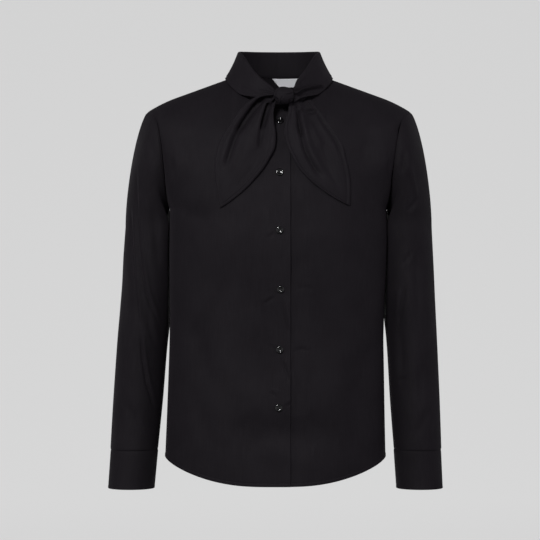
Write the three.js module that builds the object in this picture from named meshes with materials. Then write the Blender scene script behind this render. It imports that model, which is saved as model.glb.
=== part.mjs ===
// Tie-neck shirt with long sleeves, filled out as it is when worn, with nobody in it.
//
// Millimetres, +Z up, the front faces -Y. The shirt's own right side lies at -X.
// The origin is between the shoulders, at the height of the top of the shoulder seams.
// Each piece that is cut and sewn on is one closed solid: a wall of cloth whose outer
// face is worked out from the tables below, and whose inner face lies one wall deeper.

import * as THREE from "three";

// Cloth
const WALL = 1.5;
const CUFF_WALL = 1.8;
const TIE_WALL = 2;
const SEAM_GAP = 0.3;
const SHIRT_COLOUR = 0x1c191c;
const BUTTON_COLOUR = 0x0a090b;
const LABEL_COLOUR = 0xd2d3da;

// Body below the arms: level sections, wider than deep, with soft corners
const UNDERARM_Z = -207;
const BODY_SECTIONS = [
  { z: -207, half_width: 173, front: 117, back: 112, squareness: 2.7 },
  { z: -250, half_width: 173, front: 118, back: 109, squareness: 2.6 },
  { z: -300, half_width: 172.5, front: 114.5, back: 103, squareness: 2.5 },
  { z: -400, half_width: 171, front: 107, back: 95, squareness: 2.4 },
  { z: -500, half_width: 173, front: 110, back: 100, squareness: 2.35 },
  { z: -600, half_width: 176, front: 115, back: 107, squareness: 2.3 },
  { z: -680, half_width: 179, front: 118, back: 110, squareness: 2.3 },
];

// The shirt hangs a little towards its right side on the way down, sleeves included
const BODY_LEAN = { slope: 0.0108, from_z: -60 };
const SLEEVE_LEAN = { slope: 0.0125, from_z: -190 };

// Curved hem, highest at the side seams
const HEM = { side_z: -600, front_z: -640, back_z: -650, curve: 1.7 };

// Neckline, an oval that dips at the front
const NECK = { half_width: 70, half_depth: 66, y: -4, z: 5.6, tilt: 18, dip: 37.6, back_dip: 13.6 };
const NECK_TURN = 0.34;

// Shoulder seam from the neckline to the top of the armhole
const SHOULDER = { level_x: 85.6, slope: 0.36, tip_x: 211, drop_from_x: 165, drop: 0.003 };

// How the cloth leaves the underarm ring, and the points that it makes for on its way up
// before it turns in to the neckline, shoulder and armhole
const UNDERARM_HEIGHT = 0.55;
const CHEST_RISE = 75;
const ARMHOLE_START = { outward: 9, reach: 80, rise: 24, from_turn: 0.4 };
const UPPER_AIMS = {
  front: [
    { turn: -0.17, x: -46, y: -91, z: -70 },
    { turn: 0, x: 0, y: -97, z: -98 },
    { turn: 0.17, x: 46, y: -91, z: -70 },
    { turn: 0.34, x: 82, y: -83, z: -37 },
    { turn: 0.6, x: 126, y: -79, z: -36 },
    { turn: 1, x: 178, y: -83, z: -55.5 },
  ],
  back: [
    { turn: -0.17, x: -46, y: 86, z: -30 },
    { turn: 0, x: 0, y: 88, z: -36 },
    { turn: 0.17, x: 46, y: 86, z: -30 },
    { turn: 0.34, x: 84, y: 83, z: -24 },
    { turn: 0.6, x: 126, y: 80, z: -29 },
    { turn: 1, x: 178, y: 85, z: -55.5 },
  ],
};

// Sleeves: level sections from the upper arm to the cuff
const SLEEVE_SECTIONS = [
  { z: -235, x: 200.3, y: 18, half_width: 45.7, half_depth: 58 },
  { z: -300, x: 205.5, y: 18, half_width: 44.5, half_depth: 56 },
  { z: -350, x: 209.7, y: 16, half_width: 43, half_depth: 54 },
  { z: -416, x: 215.8, y: 12, half_width: 40.7, half_depth: 50 },
  { z: -512, x: 221.6, y: 4, half_width: 39.8, half_depth: 45 },
  { z: -590, x: 226.4, y: -4.5, half_width: 38, half_depth: 40 },
];
const SLEEVE_CAP_Z = -235;
const SLEEVE_END_Z = -589.6;
const SLEEVE_CLEARANCE = { near: 0.8, far: 3, above_underarm: 12, grows_over: 35 };

// How the sleeve sets off from the armhole, by the angle round it from the shoulder seam
// towards the front, and how long it keeps that way as a share of the way down
const SLEEVE_STARTS = [
  { around: 0, out: 0.55, y: 0, z: -0.83, keeps: 0.17 },
  { around: 90, out: 0.85, y: -0.25, z: -0.45, keeps: 0.3 },
  { around: 180, out: 0.6, y: 0, z: -0.8, keeps: 0.4 },
  { around: 270, out: 0.85, y: 0.25, z: -0.45, keeps: 0.3 },
  { around: 360, out: 0.55, y: 0, z: -0.83, keeps: 0.17 },
];
const SLEEVE_END_KEEPS = 0.33;

// Cuffs: a band that laps over itself at the back of the wrist
const CUFF_SECTIONS = [
  { z: -590, x: 226.6, y: -5, half_width: 37.2, half_depth: 37.2 },
  { z: -651, x: 230.6, y: -9, half_width: 36.4, half_depth: 36.4 },
];
const CUFF = { lap_starts: 215, lap: 38, button_around: 233, button_z: -621 };

// Collar band, by the angle round the neck from the centre of the back (0) to the knot:
// the line where it folds over, and the loose edge of the turned-down part
const COLLAR_ROWS = [
  { around: 0, fold_x: 0, fold_y: 58, fold_z: 50, edge_x: 0, edge_y: 77, edge_z: 3 },
  { around: 30, fold_x: 32, fold_y: 50, fold_z: 49.5, edge_x: 42, edge_y: 68, edge_z: 3 },
  { around: 60, fold_x: 55, fold_y: 28, fold_z: 48, edge_x: 73, edge_y: 40, edge_z: 2 },
  { around: 80, fold_x: 62, fold_y: 8, fold_z: 46, edge_x: 84, edge_y: 12, edge_z: 2.5 },
  { around: 95, fold_x: 62, fold_y: -8, fold_z: 43, edge_x: 86, edge_y: -10, edge_z: 1.5 },
  { around: 110, fold_x: 56, fold_y: -27, fold_z: 36, edge_x: 80, edge_y: -33, edge_z: -9 },
  { around: 128, fold_x: 47, fold_y: -42, fold_z: 23.8, edge_x: 64, edge_y: -55, edge_z: -25 },
  { around: 145, fold_x: 36, fold_y: -57, fold_z: 10, edge_x: 50, edge_y: -68, edge_z: -30 },
  { around: 160, fold_x: 22, fold_y: -71, fold_z: -7, edge_x: 35, edge_y: -79, edge_z: -33 },
  { around: 176, fold_x: 15, fold_y: -84, fold_z: -21, edge_x: 16, edge_y: -91, edge_z: -41 },
];
const COLLAR = {
  lift: 1,
  roll: 2.8,
  hollow: 1.2,
  knot_from: 150,
  knot_at: 176,
  knot_shift: 7.2,
};

// Knot of the tie
const KNOT = { x: 7.2, y: -94, z: -32.8, half_width: 15.4, half_depth: 13, half_height: 12.9 };
const KNOT_GROOVES = { depth: 0.09, twist: 1.1, count: 3 };

// Tie ends, row by row from the knot to the point: the two long edges, seen from the
// front, and how far the cloth stands off the chest
const TIE_END_RIGHT = [
  { out_x: -10.8, out_z: -29.8, out_lift: 30, in_x: -5.6, in_z: -43.9, in_lift: 28 },
  { out_x: -36.8, out_z: -35.7, out_lift: 27, in_x: -8.9, in_z: -58.7, in_lift: 22 },
  { out_x: -57.3, out_z: -51.7, out_lift: 19, in_x: -8, in_z: -74.8, in_lift: 15 },
  { out_x: -74.3, out_z: -72.5, out_lift: 12.5, in_x: -5.6, in_z: -91.5, in_lift: 11 },
  { out_x: -90.9, out_z: -99.5, out_lift: 7.5, in_x: -7, in_z: -112.5, in_lift: 8.5 },
  { out_x: -97.7, out_z: -119.7, out_lift: 5, in_x: -13.8, in_z: -127.3, in_lift: 7 },
  { out_x: -100.7, out_z: -138, out_lift: 4, in_x: -23.4, in_z: -144.2, in_lift: 5.5 },
  { out_x: -100, out_z: -156.8, out_lift: 3.5, in_x: -35.8, in_z: -160, in_lift: 4.5 },
  { out_x: -97.9, out_z: -174.5, out_lift: 3, in_x: -52.7, in_z: -178.1, in_lift: 4 },
  { out_x: -95.4, out_z: -190.9, out_lift: 3, in_x: -70.5, in_z: -193, in_lift: 3.5 },
  { out_x: -93.1, out_z: -201.9, out_lift: 3, in_x: -81.8, in_z: -201.5, in_lift: 3 },
  { out_x: -91.9, out_z: -207.4, out_lift: 3, in_x: -88.3, in_z: -205.8, in_lift: 3 },
];
const TIE_END_LEFT = [
  { out_x: 48.6, out_z: -36.8, out_lift: 7, in_x: 15.3, in_z: -44.4, in_lift: 20 },
  { out_x: 65.1, out_z: -55.8, out_lift: 6, in_x: 14.2, in_z: -58.5, in_lift: 14 },
  { out_x: 76.6, out_z: -74.2, out_lift: 5.5, in_x: 9.6, in_z: -74.8, in_lift: 10.5 },
  { out_x: 88.4, out_z: -91.8, out_lift: 5, in_x: 8.7, in_z: -92.7, in_lift: 8 },
  { out_x: 98.1, out_z: -109.8, out_lift: 4.5, in_x: 13, in_z: -109.8, in_lift: 6.5 },
  { out_x: 103.3, out_z: -127.4, out_lift: 4, in_x: 20.5, in_z: -127.1, in_lift: 5.5 },
  { out_x: 107.3, out_z: -145, out_lift: 3.5, in_x: 31.8, in_z: -146.8, in_lift: 5 },
  { out_x: 110.2, out_z: -162.7, out_lift: 3.2, in_x: 49.6, in_z: -166.2, in_lift: 4 },
  { out_x: 110.9, out_z: -180, out_lift: 3, in_x: 69.5, in_z: -182.1, in_lift: 3.5 },
  { out_x: 110.6, out_z: -193.2, out_lift: 3, in_x: 88.7, in_z: -194.2, in_lift: 3 },
  { out_x: 110.2, out_z: -200.7, out_lift: 3, in_x: 101.1, in_z: -200.5, in_lift: 3 },
  { out_x: 109.4, out_z: -203.6, out_lift: 3, in_x: 105.7, in_z: -202.8, in_lift: 3 },
];
// Pleats that run down each tie end from the knot: place across it, height and width
const TIE_PLEATS = {
  right: [
    { across: 0.08, height: 3, width: 0.12 },
    { across: 0.3, height: -4, width: 0.1 },
    { across: 0.52, height: 3, width: 0.12 },
    { across: 0.74, height: -4, width: 0.08 },
    { across: 0.92, height: 3, width: 0.1 },
  ],
  left: [
    { across: 0.12, height: 2, width: 0.14 },
    { across: 0.38, height: -3, width: 0.12 },
    { across: 0.66, height: 3, width: 0.16 },
  ],
};
const PLEATS_END = 0.75;

// Front opening: the right front laps over the left one
const LAP = { over_edge_x: 17.3, under_edge_x: -16, tuck: 0.6, tuck_starts_x: 22, tuck_ends_x: 45 };

// Buttons
const FRONT_BUTTONS = [
  { x: 0.8, z: -70.8 },
  { x: 0.6, z: -152.4 },
  { x: 0.6, z: -242.1 },
  { x: 2.1, z: -333.9 },
  { x: 0.6, z: -427.5 },
  { x: -0.9, z: -517.9 },
];
const BUTTON_PROFILE = [
  { radius: 0, height: 0 },
  { radius: 4.6, height: 0 },
  { radius: 6, height: 1.1 },
  { radius: 5.6, height: 2.2 },
  { radius: 4.2, height: 2.7 },
  { radius: 2.6, height: 2.1 },
  { radius: 0, height: 1.9 },
];
const BUTTON_SEGMENTS = 12;
const BUTTON_CLEARANCE = 0.45;
const CUFF_BUTTON_SCALE = 0.85;

// Neck label, sewn inside the back below the collar, with both ends slanting in downwards
const LABEL = {
  x: 13,
  half_width: 24,
  top_z: 8.2,
  bottom_z: -5,
  slant: 0.9,
  thickness: 1,
  standoff: 1.2,
};

// How finely each piece is divided
const GRID = {
  neck_columns: 6,
  shoulder_columns: 7,
  body_rows: 10,
  chest_rows: 12,
  cap_rows: 8,
  sleeve_rows: 10,
  cuff_columns: 28,
  tie_columns: 8,
};

// Small sums with numbers and points

const mix = (a, b, t) => a + (b - a) * t;
const clamp = (t, low, high) => Math.min(high, Math.max(low, t));
const radians = (degrees) => (degrees * Math.PI) / 180;
const add = (a, b) => [a[0] + b[0], a[1] + b[1], a[2] + b[2]];
const minus = (a, b) => [a[0] - b[0], a[1] - b[1], a[2] - b[2]];
const times = (a, k) => [a[0] * k, a[1] * k, a[2] * k];
const between = (a, b, t) => a.map((value, axis) => mix(value, b[axis], t));
const dot = (a, b) => a[0] * b[0] + a[1] * b[1] + a[2] * b[2];
const unit = (a) => times(a, 1 / (Math.hypot(...a) || 1));
const cross = (a, b) => [
  a[1] * b[2] - a[2] * b[1],
  a[2] * b[0] - a[0] * b[2],
  a[0] * b[1] - a[1] * b[0],
];
const steps = (count) => Array.from({ length: count + 1 }, (_, index) => index / count);

function ease(t) {
  const part = clamp(t, 0, 1);
  return part * part * (3 - 2 * part);
}

// The row of a table at a value of its first column, on a smooth curve through the rows.
function rowAt(table, key, value) {
  const rising = table[1][key] > table[0][key] ? 1 : -1;
  const last = table.length - 1;
  let index = 0;
  while (index < last - 1 && (value - table[index + 1][key]) * rising > 0) {
    index += 1;
  }
  const slope = (at, name) => {
    const before = table[Math.max(at - 1, 0)];
    const after = table[Math.min(at + 1, last)];
    return (after[name] - before[name]) / (after[key] - before[key]);
  };
  const from = table[index];
  const to = table[index + 1];
  const span = to[key] - from[key];
  const t = clamp((value - from[key]) / span, 0, 1);
  const row = {};
  for (const name of Object.keys(from)) {
    row[name] =
      from[name] * (2 * t ** 3 - 3 * t ** 2 + 1) +
      slope(index, name) * span * (t ** 3 - 2 * t ** 2 + t) +
      to[name] * (3 * t ** 2 - 2 * t ** 3) +
      slope(index + 1, name) * span * (t ** 3 - t ** 2);
  }
  return row;
}

function bezier(p0, p1, p2, p3, t) {
  const s = 1 - t;
  const parts = [p0, p1, p2, p3];
  const weights = [s ** 3, 3 * s * s * t, 3 * s * t * t, t ** 3];
  return parts.reduce((sum, point, index) => add(sum, times(point, weights[index])), [0, 0, 0]);
}

// The body of the shirt

const leanAt = (lean, z) => -lean.slope * Math.max(0, lean.from_z - z);

// A point of the level section at z. The turn runs from -1 at the right side seam,
// through 0 at the middle of the front or back, to 1 at the left side seam.
function ringPoint(side, turn, z) {
  const section = rowAt(BODY_SECTIONS, "z", z);
  const angle = radians(turn * 90);
  const depth = section[side];
  const power = section.squareness;
  const across = Math.abs(Math.sin(angle) / section.half_width) ** power;
  const deep = Math.abs(Math.cos(angle) / depth) ** power;
  const radius = (across + deep) ** (-1 / power);
  const facing = side === "front" ? -1 : 1;
  return [radius * Math.sin(angle) + leanAt(BODY_LEAN, z), facing * radius * Math.cos(angle), z];
}

function hemHeight(side, turn) {
  const centre = side === "front" ? HEM.front_z : HEM.back_z;
  const rise = (1 - Math.cos(Math.PI * Math.abs(turn) ** HEM.curve)) / 2;
  return mix(centre, HEM.side_z, rise);
}

// A point of the neckline, by its angle from the centre of the back
function necklinePoint(degrees) {
  const angle = radians(degrees);
  const back = Math.cos(angle);
  const dip = back > 0 ? NECK.back_dip : NECK.dip;
  return [
    NECK.half_width * Math.sin(angle),
    NECK.y + NECK.half_depth * back,
    NECK.z + NECK.tilt * back - dip * back * back,
  ];
}

function shoulderPoint(x) {
  const along = (x - NECK.half_width) / (SHOULDER.tip_x - NECK.half_width);
  const drop = SHOULDER.drop * Math.max(0, x - SHOULDER.drop_from_x) ** 2;
  return [x, mix(NECK.y, 0, along), -SHOULDER.slope * (x - SHOULDER.level_x) - drop];
}

// The upper edge of the front or back: half the neckline, then the shoulder seam
function upperEdge(side, turn) {
  const hand = Math.sign(turn) || 1;
  const size = Math.abs(turn);
  const quarter = (Math.min(size, NECK_TURN) / NECK_TURN) * 90;
  const seam = (Math.max(size, NECK_TURN) - NECK_TURN) / (1 - NECK_TURN);
  const edge =
    size < NECK_TURN
      ? necklinePoint(side === "front" ? 180 - quarter : quarter)
      : shoulderPoint(mix(NECK.half_width, SHOULDER.tip_x, seam));
  return [edge[0] * hand, edge[1], edge[2]];
}

function upperAim(side, turn) {
  const hand = Math.sign(turn) || 1;
  const row = rowAt(UPPER_AIMS[side], "turn", Math.abs(turn));
  return [row.x * hand, row.y, row.z];
}

// How the cloth sets off upwards from the underarm ring: straight up at the middle, and
// round towards the middle beside the armhole
function chestStart(side, turn) {
  const hand = Math.sign(turn) || 1;
  const foot = ringPoint(side, turn, UNDERARM_Z);
  const inner = ringPoint(side, turn * 0.99, UNDERARM_Z);
  const towards = Math.abs(turn) > 0.01 ? unit(minus(inner, foot)) : [0, 0, 0];
  const beside = (Math.abs(turn) - ARMHOLE_START.from_turn) / (1 - ARMHOLE_START.from_turn);
  const share = ease(beside);
  const round = add(times(towards, ARMHOLE_START.reach), [
    ARMHOLE_START.outward * hand,
    0,
    ARMHOLE_START.rise,
  ]);
  return between([0, 0, CHEST_RISE], round, share);
}

// A point of the front or back: the height runs from 0 at the hem to 1 at the upper edge
function bodyPoint(side, turn, height) {
  if (height <= UNDERARM_HEIGHT) {
    const z = mix(hemHeight(side, turn), UNDERARM_Z, height / UNDERARM_HEIGHT);
    return ringPoint(side, turn, z);
  }
  const foot = ringPoint(side, turn, UNDERARM_Z);
  const top = upperEdge(side, turn);
  const start = add(foot, chestStart(side, turn));
  const along = (height - UNDERARM_HEIGHT) / (1 - UNDERARM_HEIGHT);
  return bezier(foot, start, upperAim(side, turn), top, along);
}

// The turn at which the front reaches a given x, for straight front edges
function turnAtX(side, x, height) {
  let low = -NECK_TURN;
  let high = NECK_TURN;
  for (let step = 0; step < 40; step += 1) {
    const middle = (low + high) / 2;
    if (bodyPoint(side, middle, height)[0] < x) {
      low = middle;
    } else {
      high = middle;
    }
  }
  return (low + high) / 2;
}

// Where the front or back lies at a given x and z, with the way that its outside faces
function bodyAt(side, x, z) {
  const small = 0.0005;
  let turn = clamp(x / BODY_SECTIONS[0].half_width, -0.9, 0.9);
  let height = z < UNDERARM_Z ? UNDERARM_HEIGHT / 2 : (UNDERARM_HEIGHT + 1) / 2;
  for (let step = 0; step < 60; step += 1) {
    const here = bodyPoint(side, turn, height);
    const wide = minus(bodyPoint(side, turn + small, height), here);
    const tall = minus(bodyPoint(side, turn, height - small), here);
    const scale = (wide[0] * tall[2] - tall[0] * wide[2]) / small;
    const missX = x - here[0];
    const missZ = z - here[2];
    turn += clamp((missX * tall[2] - tall[0] * missZ) / scale, -0.1, 0.1);
    height -= clamp((wide[0] * missZ - missX * wide[2]) / scale, -0.1, 0.1);
    turn = clamp(turn, -1, 1);
    height = clamp(height, small, 1);
  }
  return { point: bodyPoint(side, turn, height), normal: bodyNormal(side, turn, height) };
}

function bodyNormal(side, turn, height) {
  const small = 0.002;
  const right = bodyPoint(side, clamp(turn + small, -1, 1), height);
  const left = bodyPoint(side, clamp(turn - small, -1, 1), height);
  const above = bodyPoint(side, turn, clamp(height + small, 0, 1));
  const below = bodyPoint(side, turn, clamp(height - small, 0, 1));
  const facing = side === "front" ? 1 : -1;
  return times(unit(cross(minus(right, left), minus(above, below))), facing);
}

// Sleeves

const sideOf = (around) => (around <= 180 ? "front" : "back");
const armholeHeight = (around) => {
  const along = around <= 180 ? 1 - around / 180 : (around - 180) / 180;
  return mix(UNDERARM_HEIGHT, 1, along);
};

// The armhole, by the angle round it from the shoulder seam towards the front
function armholePoint(hand, around) {
  return bodyPoint(sideOf(around), hand, armholeHeight(around));
}

// A point of a level oval section, by the same angle
function ovalPoint(hand, section, around, widen = 0) {
  const angle = radians(around);
  const x = section.x + (section.half_width + widen) * Math.cos(angle);
  const y = section.y - (section.half_depth + widen) * Math.sin(angle);
  return [hand * x + leanAt(SLEEVE_LEAN, section.z), y, section.z];
}

// Moves a point of the sleeve out to where it just clears the side of the body
function clearOfBody(hand, point) {
  const [x, y, z] = point;
  if (z > UNDERARM_Z + SLEEVE_CLEARANCE.above_underarm) {
    return point;
  }
  const section = rowAt(BODY_SECTIONS, "z", z);
  const depth = y < 0 ? section.front : section.back;
  const left = 1 - (Math.abs(y) / depth) ** section.squareness;
  if (left <= 0) {
    return point;
  }
  const grown = ease((UNDERARM_Z - z) / SLEEVE_CLEARANCE.grows_over);
  const gap = mix(SLEEVE_CLEARANCE.near, SLEEVE_CLEARANCE.far, grown);
  const side = section.half_width * left ** (1 / section.squareness) + gap;
  const lean = leanAt(BODY_LEAN, z);
  return [hand * Math.max(hand * (x - lean), side) + lean, y, z];
}

function sleevePoint(hand, around, along) {
  const cap = GRID.cap_rows / (GRID.cap_rows + GRID.sleeve_rows);
  if (along > cap) {
    const z = mix(SLEEVE_CAP_Z, SLEEVE_END_Z, (along - cap) / (1 - cap));
    return clearOfBody(hand, ovalPoint(hand, rowAt(SLEEVE_SECTIONS, "z", z), around));
  }
  const seam = armholePoint(hand, around);
  const way = rowAt(SLEEVE_STARTS, "around", around);
  const start = unit([way.out * hand, way.y, way.z]);
  const from = add(seam, times(start, SEAM_GAP));
  const to = clearOfBody(hand, ovalPoint(hand, SLEEVE_SECTIONS[0], around));
  const chord = Math.hypot(...minus(to, from));
  const first = add(from, times(start, chord * way.keeps));
  const last = add(to, [0, 0, chord * SLEEVE_END_KEEPS]);
  const point = bezier(from, first, last, to, along / cap);
  return along === 0 ? point : clearOfBody(hand, point);
}

// Both walls at the armhole share one direction, so that their cut edges stay parallel
function armholeNormal(hand, around) {
  const atShoulder = around === 0 || around === 360;
  const bodyFacing = atShoulder
    ? shoulderNormal(hand)
    : bodyNormal(sideOf(around), hand, armholeHeight(around));
  const before = sleevePoint(hand, (around + 359) % 360, 0);
  const after = sleevePoint(hand, (around + 1) % 360, 0);
  const down = minus(sleevePoint(hand, around, 0.01), sleevePoint(hand, around, 0));
  const sleeveFacing = times(unit(cross(minus(after, before), down)), hand);
  return unit(add(bodyFacing, sleeveFacing));
}

// At the shoulder seam the front and the back share one direction too
function shoulderNormal(turn) {
  const hand = Math.sign(turn);
  return unit([hand * SHOULDER.slope, 0, 1]);
}

// Solids

const materials = {
  cloth: new THREE.MeshStandardMaterial({ color: SHIRT_COLOUR, roughness: 0.85, metalness: 0 }),
  button: new THREE.MeshStandardMaterial({ color: BUTTON_COLOUR, roughness: 0.15, metalness: 0 }),
  label: new THREE.MeshStandardMaterial({ color: LABEL_COLOUR, roughness: 0.8, metalness: 0 }),
};

const group = new THREE.Group();
group.name = "tie_neck_shirt";

function addSolid(name, corners, triangles, material) {
  const geometry = new THREE.BufferGeometry();
  geometry.setAttribute("position", new THREE.Float32BufferAttribute(corners.flat(), 3));
  geometry.setIndex(triangles.flat());
  geometry.computeVertexNormals();
  const mesh = new THREE.Mesh(geometry, material.clone());
  mesh.name = name;
  group.add(mesh);
}

function gridNormals(points, facing, joined) {
  const rows = points.length;
  const columns = points[0].length;
  return points.map((row, j) =>
    row.map((_, i) => {
      const left = joined && i === 0 ? columns - 2 : Math.max(i - 1, 0);
      const right = joined && i === columns - 1 ? 1 : Math.min(i + 1, columns - 1);
      const across = minus(row[right], row[left]);
      const along = minus(points[Math.min(j + 1, rows - 1)][i], points[Math.max(j - 1, 0)][i]);
      return times(unit(cross(across, along)), facing);
    }),
  );
}

// A wall of cloth from a grid of points on its outer face. The facing is 1 where the
// way across the rows, turned towards the way up the grid, shows the outer face, and -1
// where it shows the inner one. A joined wall is a tube: its last column is its first.
function addWall(name, points, thickness, options = {}) {
  const { facing = 1, joined = false, rim = () => null, material = materials.cloth } = options;
  const rows = points.length - 1;
  const columns = points[0].length - 1;
  const facings = gridNormals(points, facing, joined);
  const width = joined ? columns : columns + 1;
  const corners = [];
  const outer = points.map(() => []);
  const inner = points.map(() => []);
  points.forEach((row, j) => {
    for (let i = 0; i < width; i += 1) {
      const normal = rim(i, j) || facings[j][i];
      outer[j][i] = corners.push(row[i]) - 1;
      inner[j][i] = corners.push(minus(row[i], times(normal, thickness))) - 1;
    }
    if (joined) {
      outer[j][columns] = outer[j][0];
      inner[j][columns] = inner[j][0];
    }
  });
  const triangles = [];
  const quad = (a, b, c, d) => {
    triangles.push(...(facing > 0 ? [[a, b, c], [a, c, d]] : [[a, c, b], [a, d, c]]));
  };
  for (let j = 0; j < rows; j += 1) {
    for (let i = 0; i < columns; i += 1) {
      quad(outer[j][i], outer[j][i + 1], outer[j + 1][i + 1], outer[j + 1][i]);
      quad(inner[j][i + 1], inner[j][i], inner[j + 1][i], inner[j + 1][i + 1]);
    }
    if (!joined) {
      quad(outer[j][0], outer[j + 1][0], inner[j + 1][0], inner[j][0]);
      quad(outer[j + 1][columns], outer[j][columns], inner[j][columns], inner[j + 1][columns]);
    }
  }
  for (let i = 0; i < columns; i += 1) {
    quad(outer[0][i + 1], outer[0][i], inner[0][i], inner[0][i + 1]);
    quad(outer[rows][i], outer[rows][i + 1], inner[rows][i + 1], inner[rows][i]);
  }
  addSolid(name, corners, triangles, material);
}

// The heights of the rows of a body panel. Above the underarm they are the points round
// the armhole that the sleeve has too.
const bodyHeights = [
  ...steps(GRID.body_rows).map((part) => part * UNDERARM_HEIGHT),
  ...steps(GRID.chest_rows).slice(1).map((part) => mix(UNDERARM_HEIGHT, 1, part)),
];
const neckTurns = steps(GRID.neck_columns).map((part) => part * NECK_TURN);
const shoulderTurns = steps(GRID.shoulder_columns)
  .slice(1)
  .map((part) => mix(NECK_TURN, 1, part));

// The direction that a body panel's cut edges take: shared along armhole and seams
function panelNormal(side, turn, height) {
  const hand = Math.sign(turn);
  const size = Math.abs(turn);
  if (size === 1 && height >= UNDERARM_HEIGHT) {
    const along = (height - UNDERARM_HEIGHT) / (1 - UNDERARM_HEIGHT);
    return armholeNormal(hand, side === "front" ? 180 * (1 - along) : 180 * (1 + along));
  }
  if (size === 1) {
    return [hand, 0, 0];
  }
  return height === 1 && size >= NECK_TURN ? shoulderNormal(turn) : null;
}

// Pulls the side and shoulder edges back, so that neighbours lie a seam gap apart
function seamPoint(side, turn, height) {
  const point = bodyPoint(side, turn, height);
  const back = side === "front" ? -1 : 1;
  const atSide = Math.abs(turn) === 1 && height <= UNDERARM_HEIGHT;
  const atShoulder = height === 1 && Math.abs(turn) >= NECK_TURN;
  const shift = atSide || atShoulder ? (back * SEAM_GAP) / 2 : 0;
  return [point[0], point[1] + shift, point[2]];
}

// A front from its own edge to its side seam. The one that lies under is tucked inwards
// next to the opening.
function addFront(name, hand, edgeX, tucked) {
  const turns = [...neckTurns, ...shoulderTurns].map((turn) => turn * hand);
  const turnOf = (i, height) => (i === 0 ? turnAtX("front", edgeX, height) : turns[i - 1]);
  const points = bodyHeights.map((height) =>
    Array.from({ length: turns.length + 1 }, (_, i) => {
      const turn = turnOf(i, height);
      const point = seamPoint("front", turn, height);
      if (!tucked) {
        return point;
      }
      const reach = (point[0] - LAP.tuck_starts_x) / (LAP.tuck_ends_x - LAP.tuck_starts_x);
      const depth = (WALL + LAP.tuck) * (1 - ease(reach));
      return minus(point, times(bodyNormal("front", turn, height), depth));
    }),
  );
  const rim = (i, j) => panelNormal("front", turnOf(i, bodyHeights[j]), bodyHeights[j]);
  addWall(name, points, WALL, { facing: hand, rim });
}

function addBack() {
  const left = [...neckTurns, ...shoulderTurns];
  const turns = [...left.slice(1).reverse().map((turn) => -turn), ...left];
  const points = bodyHeights.map((height) => turns.map((turn) => seamPoint("back", turn, height)));
  const rim = (i, j) => panelNormal("back", turns[i], bodyHeights[j]);
  addWall("back", points, WALL, { facing: -1, rim });
}

function addSleeve(name, hand) {
  const arounds = steps(GRID.chest_rows * 2).map((part) => part * 360);
  const alongs = steps(GRID.cap_rows + GRID.sleeve_rows);
  const points = alongs.map((along) => arounds.map((around) => sleevePoint(hand, around, along)));
  const rim = (i, j) => (j === 0 ? armholeNormal(hand, arounds[i]) : null);
  addWall(name, points, WALL, { facing: hand, joined: true, rim });
}

// The cuff runs a little more than once round, each part of the lap one wall further out
function cuffPoint(hand, around, z) {
  const section = rowAt(CUFF_SECTIONS, "z", z);
  const turns = (around - CUFF.lap_starts) / 360;
  const spiral = (CUFF_WALL + SEAM_GAP * 2) * ease(turns);
  return ovalPoint(hand, section, around, spiral - CUFF_WALL / 2);
}

function addCuff(name, hand) {
  const ends = [CUFF.lap_starts, CUFF.lap_starts + 360 + CUFF.lap];
  const arounds = steps(GRID.cuff_columns).map((part) => mix(ends[0], ends[1], part));
  const heights = steps(2).map((part) => mix(CUFF_SECTIONS[0].z, CUFF_SECTIONS[1].z, part));
  const points = heights.map((z) => arounds.map((around) => cuffPoint(hand, around, z)));
  addWall(name, points, CUFF_WALL, { facing: hand });
}

// Collar

// The foot, the fold and the loose edge of the collar at an angle round the neck
function collarLines(around) {
  const hand = Math.sign(around) || 1;
  const row = rowAt(COLLAR_ROWS, "around", Math.abs(around));
  const foot = necklinePoint(around);
  const past = Math.abs(around) - COLLAR.knot_from;
  const near = ease(past / (COLLAR.knot_at - COLLAR.knot_from));
  const shift = near * COLLAR.knot_shift;
  return {
    foot: [foot[0], foot[1], foot[2] + COLLAR.lift],
    fold: [row.fold_x * hand + shift, row.fold_y, row.fold_z],
    edge: [row.edge_x * hand + shift, row.edge_y, row.edge_z],
  };
}

// One section of the collar: up the stand, round the fold and down the loose part
function collarSection(around) {
  const { foot, fold, edge } = collarLines(around);
  const up = unit(minus(fold, foot));
  const down = unit(minus(edge, fold));
  const crest = unit(minus(up, down));
  const wide = minus(edge, foot);
  const out = unit(minus(wide, times(crest, dot(wide, crest))));
  const centre = minus(fold, times(crest, COLLAR.roll));
  const roll = [180, 120, 60, 0].map((degrees) => {
    const angle = radians(degrees);
    const turned = add(times(out, Math.cos(angle)), times(crest, Math.sin(angle)));
    return add(centre, times(turned, COLLAR.roll));
  });
  const stand = [0, 0.36, 0.7].map((part) => between(foot, roll[0], part));
  const fall = [0.34, 0.68, 1].map((part) => {
    const hollow = COLLAR.hollow * Math.sin(Math.PI * part);
    return minus(between(roll[3], edge, part), times(out, hollow));
  });
  return [...stand, ...roll, ...fall];
}

function addCollar() {
  const reach = COLLAR_ROWS[COLLAR_ROWS.length - 1].around;
  const quarters = steps(GRID.neck_columns * 4).slice(1, -1).map((part) => mix(-180, 180, part));
  const sections = [-reach, ...quarters, reach].map(collarSection);
  const points = sections[0].map((_, j) => sections.map((section) => section[j]));
  addWall("collar", points, WALL, { facing: 1 });
}

// Tie

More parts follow.
